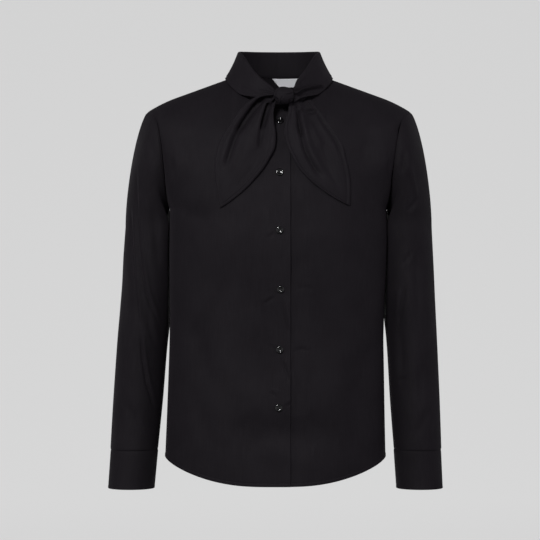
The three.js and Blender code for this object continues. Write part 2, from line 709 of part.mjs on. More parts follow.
function addKnot() {
  const rings = 8;
  const sides = 14;
  const corners = [[KNOT.x - KNOT.half_width, KNOT.y, KNOT.z]];
  for (let ring = 1; ring < rings; ring += 1) {
    const polar = (Math.PI * ring) / rings;
    for (let side = 0; side < sides; side += 1) {
      const angle = (2 * Math.PI * side) / sides;
      const groove = Math.cos(KNOT_GROOVES.count * polar + KNOT_GROOVES.twist * Math.sin(angle));
      const radius = Math.sin(polar) ** 0.8 * (1 - KNOT_GROOVES.depth * (1 + groove) * 0.5);
      corners.push([
        KNOT.x - KNOT.half_width * Math.cos(polar),
        KNOT.y + KNOT.half_depth * radius * Math.cos(angle),
        KNOT.z + KNOT.half_height * radius * Math.sin(angle),
      ]);
    }
  }
  corners.push([KNOT.x + KNOT.half_width, KNOT.y, KNOT.z]);
  const last = corners.length - 1;
  const at = (ring, side) => 1 + (ring - 1) * sides + (side % sides);
  const triangles = [];
  for (let side = 0; side < sides; side += 1) {
    triangles.push([0, at(1, side + 1), at(1, side)]);
    triangles.push([last, at(rings - 1, side), at(rings - 1, side + 1)]);
    for (let ring = 1; ring < rings - 1; ring += 1) {
      triangles.push([at(ring, side), at(ring, side + 1), at(ring + 1, side + 1)]);
      triangles.push([at(ring, side), at(ring + 1, side + 1), at(ring + 1, side)]);
    }
  }
  addSolid("tie_knot", corners, triangles, materials.cloth);
}

// A tie end hangs in front of the chest: the lift in its rows is taken from the front
function addTieEnd(name, rows, pleats, facing) {
  const points = rows.map((row, index) => {
    const fade = Math.max(0, 1 - index / (rows.length - 1) / PLEATS_END);
    return steps(GRID.tie_columns).map((across) => {
      const x = mix(row.out_x, row.in_x, across);
      const z = mix(row.out_z, row.in_z, across);
      const lift = mix(row.out_lift, row.in_lift, across);
      const sine = Math.min(1, Math.abs(x) / NECK.half_width);
      const neckline = necklinePoint(180 - (Math.asin(sine) * 180) / Math.PI);
      const chest = bodyAt("front", x, Math.min(z, neckline[2] - 1)).point;
      const relief = pleats.reduce((sum, pleat) => {
        const away = (across - pleat.across) / pleat.width;
        return sum + pleat.height * fade * Math.exp(-away * away);
      }, 0);
      return [x, chest[1] - lift - relief, z];
    });
  });
  addWall(name, points, TIE_WALL, { facing });
}

// Buttons and label

function addButton(name, place, normal, scale) {
  const profile = BUTTON_PROFILE.map(
    ({ radius, height }) => new THREE.Vector2(radius * scale, height * scale),
  );
  const geometry = new THREE.LatheGeometry(profile, BUTTON_SEGMENTS);
  const axis = new THREE.Vector3(...normal);
  const turn = new THREE.Quaternion().setFromUnitVectors(new THREE.Vector3(0, 1, 0), axis);
  geometry.applyQuaternion(turn);
  geometry.translate(...add(place, times(normal, BUTTON_CLEARANCE)));
  const mesh = new THREE.Mesh(geometry, materials.button.clone());
  mesh.name = name;
  group.add(mesh);
}

// How far a button must stand off the front, so that its flat back clears the cloth
function buttonLift(point, normal) {
  const radius = Math.max(...BUTTON_PROFILE.map((row) => row.radius));
  const heights = steps(8).map((part) => {
    const angle = 2 * Math.PI * part;
    const x = point[0] + radius * Math.cos(angle);
    const z = point[2] + radius * Math.sin(angle);
    return dot(minus(bodyAt("front", x, z).point, point), normal);
  });
  return Math.max(0, ...heights);
}

function addFrontButtons() {
  FRONT_BUTTONS.forEach(({ x, z }, index) => {
    const { point, normal } = bodyAt("front", x, z);
    const place = add(point, times(normal, buttonLift(point, normal)));
    addButton(`button_${index + 1}`, place, normal, 1);
  });
}

function addCuffButton(name, hand) {
  const around = CUFF.button_around + 360;
  const small = 1;
  const place = cuffPoint(hand, around, CUFF.button_z);
  const before = cuffPoint(hand, around - small, CUFF.button_z);
  const after = cuffPoint(hand, around + small, CUFF.button_z);
  const below = cuffPoint(hand, around, CUFF.button_z - small);
  const normal = times(unit(cross(minus(after, before), minus(below, place))), hand);
  addButton(name, place, normal, CUFF_BUTTON_SCALE);
}

function addLabel() {
  const points = steps(2).map((down) =>
    steps(8).map((across) => {
      const z = mix(LABEL.bottom_z, LABEL.top_z, down);
      const half = LABEL.half_width - LABEL.slant * (LABEL.top_z - z);
      const x = LABEL.x + mix(-half, half, across);
      const back = bodyAt("back", x, z);
      const inside = WALL + LABEL.standoff + LABEL.thickness;
      return minus(back.point, times(back.normal, inside));
    }),
  );
  addWall("neck_label", points, LABEL.thickness, { facing: 1, material: materials.label });
}

addFront("front_right", -1, LAP.over_edge_x, false);
addFront("front_left", 1, LAP.under_edge_x, true);
addBack();
addSleeve("sleeve_right", -1);
addSleeve("sleeve_left", 1);
addCuff("cuff_right", -1);
addCuff("cuff_left", 1);
addCollar();
addKnot();
addTieEnd("tie_end_right", TIE_END_RIGHT, TIE_PLEATS.right, -1);
addTieEnd("tie_end_left", TIE_END_LEFT, TIE_PLEATS.left, 1);
addFrontButtons();
addCuffButton("cuff_button_right", -1);
addCuffButton("cuff_button_left", 1);
addLabel();

export default group;
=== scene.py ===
# %% [markdown]
# # A tie-neck shirt in black cotton
# This lesson dresses the plain solids of a long-sleeved shirt with real-looking cloth, buttons and
# sewing. The shirt hangs filled out, as if worn, with nobody in it. The solids came from another
# program in the same frame: metres, +Z up, the buttoned front faces -Y, and the shirt's own right
# side lies at -X. Here every shape is worked out in millimetres with numpy and turned to metres
# when it becomes a mesh.

import bpy
import numpy as np
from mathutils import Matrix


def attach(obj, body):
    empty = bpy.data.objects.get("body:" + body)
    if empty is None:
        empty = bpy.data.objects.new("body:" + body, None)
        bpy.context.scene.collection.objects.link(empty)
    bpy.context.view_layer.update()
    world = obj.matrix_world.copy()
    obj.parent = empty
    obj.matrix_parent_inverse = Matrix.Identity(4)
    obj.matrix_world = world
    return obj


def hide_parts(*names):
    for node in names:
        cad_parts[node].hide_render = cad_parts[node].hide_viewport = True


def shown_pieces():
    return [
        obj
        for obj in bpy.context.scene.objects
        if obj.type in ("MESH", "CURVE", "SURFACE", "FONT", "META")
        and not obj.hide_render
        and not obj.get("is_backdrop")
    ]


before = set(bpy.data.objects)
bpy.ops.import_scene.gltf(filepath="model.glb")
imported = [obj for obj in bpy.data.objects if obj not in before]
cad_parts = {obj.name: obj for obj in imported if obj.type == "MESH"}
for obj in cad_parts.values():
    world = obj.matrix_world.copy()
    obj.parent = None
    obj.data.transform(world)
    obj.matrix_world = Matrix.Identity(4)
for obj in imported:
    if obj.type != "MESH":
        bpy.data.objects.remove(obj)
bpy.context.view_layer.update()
FRONT, BACK = -1, 1
print("solids in the frame:", len(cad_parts))

# %% [markdown]
# The camera comes first, because the creases below are placed by what it sees. It stands level with
# the shirt's middle, 3.6 m away, with a long lens, as for a catalogue picture. `seen` slides any
# point along its line of sight to the plane y = 0, so a crease can be written down where it shows.

# %% Camera
MM_PER_METRE = 1000
EYE = np.array([-14.4, -3600.0, -304.0])
camera_data = bpy.data.cameras.new("camera")
camera_data.lens = 150
camera_data.sensor_width = 36
camera = bpy.data.objects.new("camera", camera_data)
camera.location = EYE / MM_PER_METRE
camera.rotation_euler = (np.pi / 2, 0, 0)
bpy.context.scene.collection.objects.link(camera)
bpy.context.scene.camera = camera


def seen(points):
    """x and z where the line from the eye through each point crosses y = 0: the offset from the eye
    divided by how far away the point is, times the distance of the plane."""
    away = (points[..., 1] - EYE[1]) / -EYE[1]
    x = EYE[0] + (points[..., 0] - EYE[0]) / away
    z = EYE[2] + (points[..., 2] - EYE[2]) / away
    return np.stack([x, z], -1)


# %% [markdown]
# Cloth patterns are smooth, so short tables with a smooth curve through their rows are enough. Four
# small helpers do the blending: an eased step, a bell, a cubic through table rows and a Bezier curve.

# %% Curves through tables
def mix(a, b, t):
    """The value a share t of the way from a to b."""
    return a + (b - a) * t


def ease(t):
    """0 below 0, 1 above 1, and 3t^2 - 2t^3 between, so it starts and ends level."""
    t = np.clip(t, 0, 1)
    return t * t * (3 - 2 * t)


def unit(v):
    """The same ways, each divided by its length."""
    return v / np.maximum(np.linalg.norm(v, axis=-1, keepdims=True), 1e-9)


def bell(distance, middle, width):
    """exp(-(s/width)^2), where s is how far the distance is from the middle: a soft ridge 1 high."""
    return np.exp(-(((distance - middle) / width) ** 2))


def hand_of(values):
    """-1 for values below 0, at the shirt's own right, and 1 for the others."""
    return np.where(values < 0, -1.0, 1.0)


def through_rows(rows, at):
    """Reads a table at values of its first column and gives its other columns. Between two rows it
    is a cubic, whose slope at a row is the rise from the row before to the row after, over their
    distance."""
    rows = np.asarray(rows, float)
    if rows[0, 0] > rows[-1, 0]:
        rows = rows[::-1]
    keys = rows[:, 0]
    last = len(keys) - 1
    before = np.maximum(np.arange(last + 1) - 1, 0)
    after = np.minimum(np.arange(last + 1) + 1, last)
    slopes = (rows[after] - rows[before]) / (keys[after] - keys[before])[:, None]
    at = np.asarray(at, float)
    low = np.clip(np.searchsorted(keys, at, side="right") - 1, 0, last - 1)
    span = (keys[low + 1] - keys[low])[..., None]
    t = np.clip((at - keys[low])[..., None] / span, 0, 1)
    value = (
        rows[low] * (2 * t**3 - 3 * t**2 + 1)
        + slopes[low] * span * (t**3 - 2 * t**2 + t)
        + rows[low + 1] * (3 * t**2 - 2 * t**3)
        + slopes[low + 1] * span * (t**3 - t**2)
    )
    return np.moveaxis(value[..., 1:], -1, 0)


def bezier(p0, p1, p2, p3, t):
    """The cubic Bezier curve: each end weighs (1-t)^3 or t^3, each handle 3t(1-t)^2 or 3t^2(1-t)."""
    t = np.asarray(t)[..., None]
    s = 1 - t
    return s**3 * p0 + 3 * s * s * t * p1 + 3 * s * t * t * p2 + t**3 * p3


# %% [markdown]
# The body of a shirt is a tube below the arms and a shaped bib above them. Below, each level section
# is an oval with soft corners, wider than deep. Above, every column of cloth is one Bezier curve
# from the underarm line to the neckline, shoulder seam or armhole. Points are named by a side, a
# turn from -1 at the right side seam to 1 at the left one, and a height from 0 at the hem to 1.

# %% The body's surface
UNDERARM_Z = -207
# z, half width, front depth, back depth, squareness
BODY_SECTIONS = [
    (-207, 173, 117, 112, 2.7),
    (-250, 173, 118, 109, 2.6),
    (-300, 172.5, 114.5, 103, 2.5),
    (-400, 171, 107, 95, 2.4),
    (-500, 173, 110, 100, 2.35),
    (-600, 176, 115, 107, 2.3),
    (-680, 179, 118, 110, 2.3),
]
BODY_LEAN = (0.0108, -60)
SLEEVE_LEAN = (0.0125, -190)
HEM_SIDE_Z, HEM_FRONT_Z, HEM_BACK_Z, HEM_CURVE = -600, -640, -650, 1.7


def lean(slope_and_start, z):
    """The shirt hangs a little towards its right: the shift grows evenly below a start height."""
    slope, start = slope_and_start
    return -slope * np.maximum(0, start - z)


def ring_point(side, turn, z):
    """A point of a level oval section. Its radius is (|sin/width|^p + |cos/depth|^p)^(-1/p), where p
    is the squareness: 2 is an ellipse, and more is squarer."""
    turn, z = np.broadcast_arrays(np.asarray(turn, float), np.asarray(z, float))
    half_width, front, back, power = through_rows(BODY_SECTIONS, z)
    depth = front if side == FRONT else back
    angle = np.radians(turn * 90)
    across = np.abs(np.sin(angle) / half_width) ** power
    deep = np.abs(np.cos(angle) / depth) ** power
    radius = (across + deep) ** (-1 / power)
    x = radius * np.sin(angle) + lean(BODY_LEAN, z)
    return np.stack([x, side * radius * np.cos(angle), z], -1)


def hem_height(side, turn):
    """The curved hem: a cosine wave from its lowest, at the middle, to its highest, at the side."""
    centre = HEM_FRONT_Z if side == FRONT else HEM_BACK_Z
    rise = (1 - np.cos(np.pi * np.abs(turn) ** HEM_CURVE)) / 2
    return mix(centre, HEM_SIDE_Z, rise)


# %% [markdown]
# The neckline is a tilted oval that dips at the front. The shoulder seam runs straight out from it
# and rounds over at its tip. `UPPER_AIMS` holds the points that the cloth makes for before it turns
# in to those edges.

# %% Neckline, shoulder and chest
NECK_HALF_WIDTH, NECK_HALF_DEPTH, NECK_Y, NECK_Z = 70, 66, -4, 5.6
NECK_TILT, NECK_DIP, NECK_BACK_DIP, NECK_TURN = 18, 37.6, 13.6, 0.34
SHOULDER_LEVEL_X, SHOULDER_SLOPE, SHOULDER_TIP_X = 85.6, 0.36, 211
SHOULDER_DROP_FROM_X, SHOULDER_DROP = 165, 0.003
UNDERARM_HEIGHT, CHEST_RISE = 0.55, 75
# turn, x, y, z
UPPER_AIMS = {
    FRONT: [
        (-0.17, -46, -91, -70),
        (0, 0, -97, -98),
        (0.17, 46, -91, -70),
        (0.34, 82, -83, -37),
        (0.6, 126, -79, -36),
        (1, 178, -83, -55.5),
    ],
    BACK: [
        (-0.17, -46, 86, -30),
        (0, 0, 88, -36),
        (0.17, 46, 86, -30),
        (0.34, 84, 83, -24),
        (0.6, 126, 80, -29),
        (1, 178, 85, -55.5),
    ],
}


def neckline_point(degrees):
    """A point of the neckline by its angle from the centre of the back. Its height is a tilt by the
    cosine, less a dip by the cosine squared that is deeper at the front."""
    angle = np.radians(degrees)
    back = np.cos(angle)
    dip = np.where(back > 0, NECK_BACK_DIP, NECK_DIP)
    x = NECK_HALF_WIDTH * np.sin(angle)
    return np.stack([x, NECK_Y + NECK_HALF_DEPTH * back, NECK_Z + NECK_TILT * back - dip * back**2], -1)


# %% [markdown]
# The upper edge of a panel is half the neckline and then the shoulder seam. A column sets off from
# the underarm line in its own way and makes for that edge by its aim.

# %% From the underarm line to the upper edge
def upper_edge(side, turn):
    """Half the neckline up to the neck turn, then the shoulder seam: a straight slope that drops by
    the square of the distance past its last straight point."""
    hand = hand_of(turn)
    size = np.abs(turn)
    quarter = np.minimum(size, NECK_TURN) / NECK_TURN * 90
    neck = neckline_point(180 - quarter if side == FRONT else quarter)
    seam = (np.maximum(size, NECK_TURN) - NECK_TURN) / (1 - NECK_TURN)
    x = mix(NECK_HALF_WIDTH, SHOULDER_TIP_X, seam)
    drop = SHOULDER_DROP * np.maximum(0, x - SHOULDER_DROP_FROM_X) ** 2
    z = -SHOULDER_SLOPE * (x - SHOULDER_LEVEL_X) - drop
    shoulder = np.stack([x, mix(NECK_Y, 0.0, seam), z], -1)
    edge = np.where((size < NECK_TURN)[..., None], neck, shoulder)
    return edge * np.stack([hand, np.ones_like(hand), np.ones_like(hand)], -1)


def chest_start(side, turn):
    """How a column sets off from the underarm line: straight up at the middle, and beside the
    armhole a little outwards and round towards the middle. An eased step blends the two."""
    hand = hand_of(turn)
    foot = ring_point(side, turn, UNDERARM_Z)
    inner = ring_point(side, turn * 0.99, UNDERARM_Z)
    towards = np.where((np.abs(turn) > 0.01)[..., None], unit(inner - foot), 0)
    zero = np.zeros_like(hand)
    outward, reach, rise, from_turn = 9, 80, 24, 0.4
    beside = towards * reach + np.stack([outward * hand, zero, zero + rise], -1)
    share = ease((np.abs(turn) - from_turn) / (1 - from_turn))[..., None]
    return mix(np.stack([zero, zero, zero + CHEST_RISE], -1), beside, share)


# %% [markdown]
# Both parts together give any point of the body. Its normal, the way out of the cloth, comes from
# two short steps across and up.

# %% Any point of the body
def body_point(side, turn, height):
    """A point of the front or back: a level section below the underarm, a Bezier column above."""
    turn, height = np.broadcast_arrays(np.asarray(turn, float), np.asarray(height, float))
    low = np.minimum(height, UNDERARM_HEIGHT) / UNDERARM_HEIGHT
    skirt = ring_point(side, turn, mix(hem_height(side, turn), UNDERARM_Z, low))
    foot = ring_point(side, turn, UNDERARM_Z)
    hand = hand_of(turn)
    x, y, z = through_rows(UPPER_AIMS[side], np.abs(turn))
    aim = np.stack([x * hand, y, z], -1)
    along = np.clip((height - UNDERARM_HEIGHT) / (1 - UNDERARM_HEIGHT), 0, 1)
    chest = bezier(foot, foot + chest_start(side, turn), aim, upper_edge(side, turn), along)
    return np.where((height <= UNDERARM_HEIGHT)[..., None], skirt, chest)


def body_normal(side, turn, height):
    """The way out of the cloth: the cross product of the ways across and up."""
    small = 0.002
    across = body_point(side, np.clip(turn + small, -1, 1), height)
    across = across - body_point(side, np.clip(turn - small, -1, 1), height)
    up = body_point(side, turn, np.clip(height + small, 0, 1))
    up = up - body_point(side, turn, np.clip(height - small, 0, 1))
    return unit(np.cross(across, up)) * -side


# %% [markdown]
# Two searches turn this round. `turn_at_x` halves an interval until a column reaches a given x, for
# the straight front edges. `body_at` finds where the cloth is at a given x and z by stepping along
# its slopes, so buttons and tie ends can be laid on the chest.

# %% Finding places on the body
HALVINGS, STEPS, SMALL_STEP, LONGEST_STEP = 30, 40, 0.0005, 0.1


def turn_at_x(side, x, height):
    """Halves the interval between the two neck turns, keeping the half with the asked x in it."""
    low = np.full(np.shape(height), -NECK_TURN)
    high = -low
    for _ in range(HALVINGS):
        middle = (low + high) / 2
        short = body_point(side, middle, height)[..., 0] < x
        low, high = np.where(short, middle, low), np.where(short, high, middle)
    return (low + high) / 2


def body_at(side, x, z):
    """Newton's steps in turn and height until the point's x and z are the ones asked for. Each is
    the miss in x and z, solved for the two slopes of the cloth there, and no step is long."""
    x, z = np.asarray(x, float), np.asarray(z, float)
    turn = np.clip(x / BODY_SECTIONS[0][1], -0.9, 0.9)
    height = np.where(z < UNDERARM_Z, UNDERARM_HEIGHT / 2, (UNDERARM_HEIGHT + 1) / 2)
    for _ in range(STEPS):
        here = body_point(side, turn, height)
        wide = body_point(side, turn + SMALL_STEP, height) - here
        tall = body_point(side, turn, height - SMALL_STEP) - here
        scale = (wide[..., 0] * tall[..., 2] - tall[..., 0] * wide[..., 2]) / SMALL_STEP
        miss_x, miss_z = x - here[..., 0], z - here[..., 2]
        step = (miss_x * tall[..., 2] - tall[..., 0] * miss_z) / scale
        turn = np.clip(turn + np.clip(step, -LONGEST_STEP, LONGEST_STEP), -1, 1)
        step = (wide[..., 0] * miss_z - miss_x * wide[..., 2]) / scale
        height = np.clip(height - np.clip(step, -LONGEST_STEP, LONGEST_STEP), SMALL_STEP, 1)
    return body_point(side, turn, height), body_normal(side, turn, height)


middle_front, _ = body_at(FRONT, 0, -300)
print("front at mid height, mm from the middle plane:", round(float(-middle_front[1]), 1))

# %% [markdown]
# A crease in crisp cotton is a soft trough with a low ridge along one side. Each one here is a short
# line of places where it shows, then its width and depth in mm, the ridge's share of that depth, and
# the share of the line over which it fades at either end. A share below 0 puts the ridge on the
# line's other side, and a depth below 0 makes a soft fold that stands out. The cloth is pushed in or
# out by how far each of its points is from the line.

# %% Creases
RIDGE_AT, RIDGE_WIDTH = 2.1, 1.4
PICTURE_STEP_MM, MIDDLE_COLUMN, SHOULDER_ROW = 1.6, 279, 80


def crease_relief(places, creases):
    """Sums the creases at places given by two coordinates. For each, the distance s to the nearest
    point of its line gives -depth * exp(-(s/width)^2), with a wider ridge of its share of that depth
    2.1 widths beside it, and both are multiplied by an eased fade along the line."""
    relief = np.zeros(places.shape[:-1])
    for line, width, depth, ridge, fade in creases:
        line = np.asarray(line, float)
        starts, steps = line[:-1], np.diff(line, axis=0)
        lengths = np.linalg.norm(steps, axis=1)
        done = np.concatenate([[0], np.cumsum(lengths)])
        best = np.full(places.shape[:-1], np.inf)
        along = np.zeros(places.shape[:-1])
        aside = np.zeros(places.shape[:-1])
        for start, step, length, before in zip(starts, steps, lengths, done):
            away = places - start
            t = np.clip((away @ step) / length**2, 0, 1)
            off = away - t[..., None] * step
            distance = np.linalg.norm(off, axis=-1)
            sign = np.sign(step[0] * off[..., 1] - step[1] * off[..., 0])
            near = distance < best
            best = np.where(near, distance, best)
            along = np.where(near, before + t * length, along)
            aside = np.where(near, distance * sign, aside)
        ends = ease(along / (fade * done[-1])) * ease((done[-1] - along) / (fade * done[-1]))
        trough = bell(aside, 0, width)
        beside = bell(aside, RIDGE_AT * width * np.sign(ridge), RIDGE_WIDTH * width)
        relief += ends * depth * (abs(ridge) * beside - trough)
    return relief


def at_pixel(*places):
    """Columns and rows of the catalogue picture as x and z in mm: 1.6 mm a step, from the middle
    column and from the row of the shoulders."""
    return [
        ((column - MIDDLE_COLUMN) * PICTURE_STEP_MM, (SHOULDER_ROW - row) * PICTURE_STEP_MM)
        for column, row in places
    ]


# %% [markdown]
# Every piece of cloth becomes a thin closed wall: the outer face, an inner face one thickness deeper
# and a round lip along each free edge. The cloth also gets a UV map in metres of thread, so that the
# weave follows the panel the way it was cut.

# %% From a grid of points to a mesh
LIP_BULGE = 0.45


def grid_normals(points, facing, joined):
    """The cross product of the ways across and along the grid, turned to face outwards."""
    if joined:
        across = np.roll(points, -1, 1) - np.roll(points, 1, 1)
    else:
        across = np.gradient(points, axis=1)
    return unit(np.cross(across, np.gradient(points, axis=0))) * facing


def point_numbers(rows, columns, joined):
    """The grid's point numbers, with the first column again after the last if it is a tube."""
    index = np.arange(rows * columns).reshape(rows, columns)
    return np.concatenate([index, index[:, :1]], 1) if joined else index


def squares_of(grid):
    """The four corners of every cell of a grid, in order round the cell."""
    return np.stack([grid[:-1, :-1], grid[:-1, 1:], grid[1:, 1:], grid[1:, :-1]], 2)


def triangles_of(index):
    """Every cell of a grid of point numbers as two triangles."""
    square = squares_of(index).reshape(-1, 4)
    return np.concatenate([square[:, :3], square[:, [0, 2, 3]]])


def lengths_along(points, axis):
    """The distance run from the first row or column, averaged over the others, in mm."""
    steps = np.linalg.norm(np.diff(points, axis=axis), axis=-1).mean(1 - axis)
    return np.concatenate([[0], np.cumsum(steps)])


def new_object(name, vertices, faces, uv=None):
    """Puts points in mm and faces into a new smooth mesh object in metres."""
    mesh = bpy.data.meshes.new(name)
    mesh.from_pydata((vertices / MM_PER_METRE).tolist(), [], faces.tolist())
    mesh.polygons.foreach_set("use_smooth", np.full(len(mesh.polygons), True))
    if uv is not None:
        layer = mesh.uv_layers.new(name="cloth")
        layer.data.foreach_set("uv", (uv / MM_PER_METRE).ravel())
    mesh.update()
    made = bpy.data.objects.new(name, mesh)
    bpy.context.scene.collection.objects.link(made)
    return made


# %% [markdown]
# The wall itself: the outer and inner face share their numbering, one count apart, and each lip is a
# row of points between the two faces, pushed outwards by 0.45 of the thickness.

# %% A wall of cloth
def cloth_wall(name, points, thickness, facing, joined=False):
    """Outer grid, inner grid and a bulging lip round each free edge. `joined` closes the columns to
    a tube, which has a free edge at each end, and a panel has one all the way round."""
    rows, columns = points.shape[:2]
    inner = points - grid_normals(points, facing, joined) * thickness
    index = point_numbers(rows, columns, joined)
    u, v = lengths_along(points, 1), lengths_along(points, 0)
    if joined:
        u = np.append(u, u[-1] + np.linalg.norm(points[:, 0] - points[:, -1], axis=-1).mean())
    grid_uv = np.stack(np.broadcast_arrays(u[None, :], v[:, None]), -1)
    sheet, sheet_uv = squares_of(index).reshape(-1, 4), squares_of(grid_uv).reshape(-1, 4, 2)
    count = rows * columns
    vertices = [points.reshape(-1, 3), inner.reshape(-1, 3)]
    faces, uvs = [sheet, sheet[:, ::-1] + count], [sheet_uv, sheet_uv[:, ::-1]]
    out_down, out_across = np.gradient(points, axis=0), np.gradient(points, axis=1)
    if joined:
        loops = [(index[0], grid_uv[0], -out_down[0], 1), (index[-1], grid_uv[-1], out_down[-1], -1)]
    else:
        loop = np.concatenate([index[0], index[1:, -1], index[-1, -2::-1], index[-2:0:-1, 0]])
        flat_uv = grid_uv.reshape(-1, 2)
        outwards = np.zeros((rows, columns, 3))
        outwards[0] -= unit(out_down[0])
        outwards[-1] += unit(out_down[-1])
        outwards[:, 0] -= unit(out_across[:, 0])
        outwards[:, -1] += unit(out_across[:, -1])
        loop = np.append(loop, loop[0])
        loops = [(loop, flat_uv[loop], outwards.reshape(-1, 3)[loop], 1)]
    base = 2 * count
    for loop, loop_uv, outwards, way in loops:
        places = loop[:-1]
        lip = (points.reshape(-1, 3)[places] + inner.reshape(-1, 3)[places]) / 2
        size = len(places)
        lip = lip + unit(outwards[:size]) * thickness * LIP_BULGE
        vertices.append(lip)
        middle = base + np.arange(size)
        middle_next = base + (np.arange(size) + 1) % size
        here, after = loop[:-1], loop[1:]
        band = np.concatenate(
            [
                np.stack([after, here, middle, middle_next], 1),
                np.stack([middle_next, middle, here + count, after + count], 1),
            ]
        )
        faces.append(band[:, ::way])
        band_uv = np.stack([loop_uv[1:], loop_uv[:-1], loop_uv[:-1], loop_uv[1:]], 1)
        uvs.append(np.concatenate([band_uv, band_uv])[:, ::way])
        base += size
    faces, uvs = np.concatenate(faces), np.concatenate(uvs)
    if facing < 0:
        faces, uvs = faces[:, ::-1], uvs[:, ::-1]
    return new_object(name, np.concatenate(vertices), faces, uvs.reshape(-1, 2))


# %% [markdown]
# Seams pull the cloth in. `valley` presses a narrow groove beside an edge, and `hem_relief` makes
# the narrow double-turned hem: a little proud of the panel, with a dent along its stitch line.

# %% Seams and hems
CLOTH_MM, SEAM_GAP = 0.8, 0.3
HEM_MM, HEM_STANDS, HEM_STEP, HEM_DENT, HEM_DENT_WIDTH = 5.0, 0.5, 0.8, 0.35, 0.7


def from_edge(points, axis, last):
    """Distance of every grid point from the first or last row or column, along the cloth."""
    steps = np.linalg.norm(np.diff(points, axis=axis), axis=-1)
    zero = np.zeros_like(np.take(steps, [0], axis=axis))
    if last:
        steps = np.flip(np.cumsum(np.flip(steps, axis), axis), axis)
        return np.concatenate([steps, zero], axis)
    return np.concatenate([zero, np.cumsum(steps, axis)], axis)


def valley(distance, depth=0.7, width=2.2):
    """A groove along an edge, as an upside-down bell of the distance from it."""
    return -depth * bell(distance, 0, width)


def hem_relief(distance):
    """Half a millimetre proud up to the stitch line, with a dent 0.35 mm deep along it."""
    proud = HEM_STANDS * (1 - ease((distance - HEM_MM + HEM_STEP / 2) / HEM_STEP))
    return proud - HEM_DENT * bell(distance, HEM_MM, HEM_DENT_WIDTH)


def in_order(*lists):
    """One rising list of shares from several, each share once."""
    return np.unique(np.round(np.concatenate(lists), 6))


def closer_at(edge_shares, spread):
    """Shares from 0 to 1 with a few extra lines within the first millimetres of each end."""
    extra = np.array(edge_shares)
    return in_order(np.linspace(0, 1, spread), extra, 1 - extra)


# %% [markdown]
# The fronts are two panels with a straight edge each. The right one laps 33 mm over the left one,
# which is tucked one cloth deeper under it. Their creases are few: soft dents at the shoulders, a
# diagonal across the left chest, and short pulls where the buttons hold the edge.

# %% Creases and lap of the fronts
LAP_OVER_X, LAP_UNDER_X = 17.3, -16
LAP_TUCK, LAP_TUCK_STARTS, LAP_TUCK_ENDS = 2.1, 22, 45
FRONT_CREASES = [
    # the shoulders, beside the armhole seams
    (at_pixel((158, 106), (156, 121), (159, 136)), 5, 2.2, 0.5, 0.45),
    (at_pixel((404, 113), (400, 126), (396, 139)), 4.5, 2.4, -0.5, 0.45),
    (at_pixel((168, 152), (173, 168), (171, 184)), 5, 1.8, 0.4, 0.45),
    (at_pixel((392, 150), (389, 168), (391, 186)), 4.5, 1.8, -0.4, 0.45),
    # long soft folds down the chest and the sides
    (at_pixel((381, 124), (368, 146), (353, 172)), 14, 3.6, 0.4, 0.45),
    (at_pixel((180, 124), (192, 148), (206, 178)), 13, 2.6, -0.4, 0.45),
    (at_pixel((172, 200), (190, 214), (214, 222)), 13, 2.6, 0.3, 0.45),
    (at_pixel((176, 300), (198, 340), (212, 400)), 15, 3.4, 0.35, 0.45),
    (at_pixel((383, 320), (364, 362), (350, 420)), 15, 3.2, -0.35, 0.45),
    (at_pixel((190, 380), (202, 420), (206, 460)), 12, 2.2, 0.35, 0.45),
    (at_pixel((362, 390), (356, 424), (358, 456)), 12, 2.0, -0.35, 0.45),
    (at_pixel((232, 240), (238, 300), (236, 360)), 22, 2.4, 0.3, 0.45),
    (at_pixel((334, 236), (330, 300), (336, 350)), 22, 2.2, -0.3, 0.45),
    (at_pixel((388, 205), (387.5, 255), (388, 310)), 7, -2.2, 0.0, 0.35),
    # the shallow fall under the last button, towards the hem
    (at_pixel((212, 462), (240, 442), (276, 433), (318, 440), (346, 460)), 24, 5.0, 0.3, 0.35),
    (at_pixel((222, 436), (246, 424), (270, 414)), 13, 1.6, -0.4, 0.45),
    (at_pixel((292, 414), (316, 424), (340, 440)), 13, 1.5, -0.4, 0.45),
    # pulls from the buttons to the edge of the lap
    (at_pixel((281.5, 297), (286, 318), (289, 337)), 2.2, 1.4, 0.6, 0.3),
    (at_pixel((281, 356), (286, 371), (290.6, 385)), 2.2, 1.6, 0.6, 0.3),
    (at_pixel((262, 305), (270, 300), (277, 296)), 2.4, 1.2, 0.6, 0.4),
    (at_pixel((269, 391.5), (278, 397)), 2.4, 1.1, 0.6, 0.4),
    (at_pixel((268, 345), (276, 349)), 2.4, 0.9, 0.6, 0.4),
    (at_pixel((267, 238), (275, 233)), 2.4, 0.9, 0.6, 0.4),
    (at_pixel((283, 407), (292, 404), (300, 407)), 3.0, 1.2, 0.6, 0.4),
    (at_pixel((292, 352), (302, 349), (312, 352)), 3.4, 1.2, 0.5, 0.4),
    (at_pixel((292, 290), (303, 287), (314, 290)), 3.4, 1.2, 0.5, 0.4),
]
# z, how far the edge of the lap lifts off the front below it
LAP_LIFT = [
    (-640, 0.4),
    (-560, 0.2),
    (-511, 0.0),
    (-465, 0.7),
    (-424, 0.0),
    (-378, 0.8),
    (-332, 0.0),
    (-287, 2.2),
    (-244, 0.1),
    (-214, 1.4),
    (-190, 0.5),
    (-157, 0.0),
    (-120, 0.5),
    (-75, 0.0),
    (-45, 0.0),
]

# %% [markdown]
# The rows of the grid lie close together where the hem is turned and where the top seam pulls in,
# and wide apart between. Near the hem and the top they are given in mm from the edge.

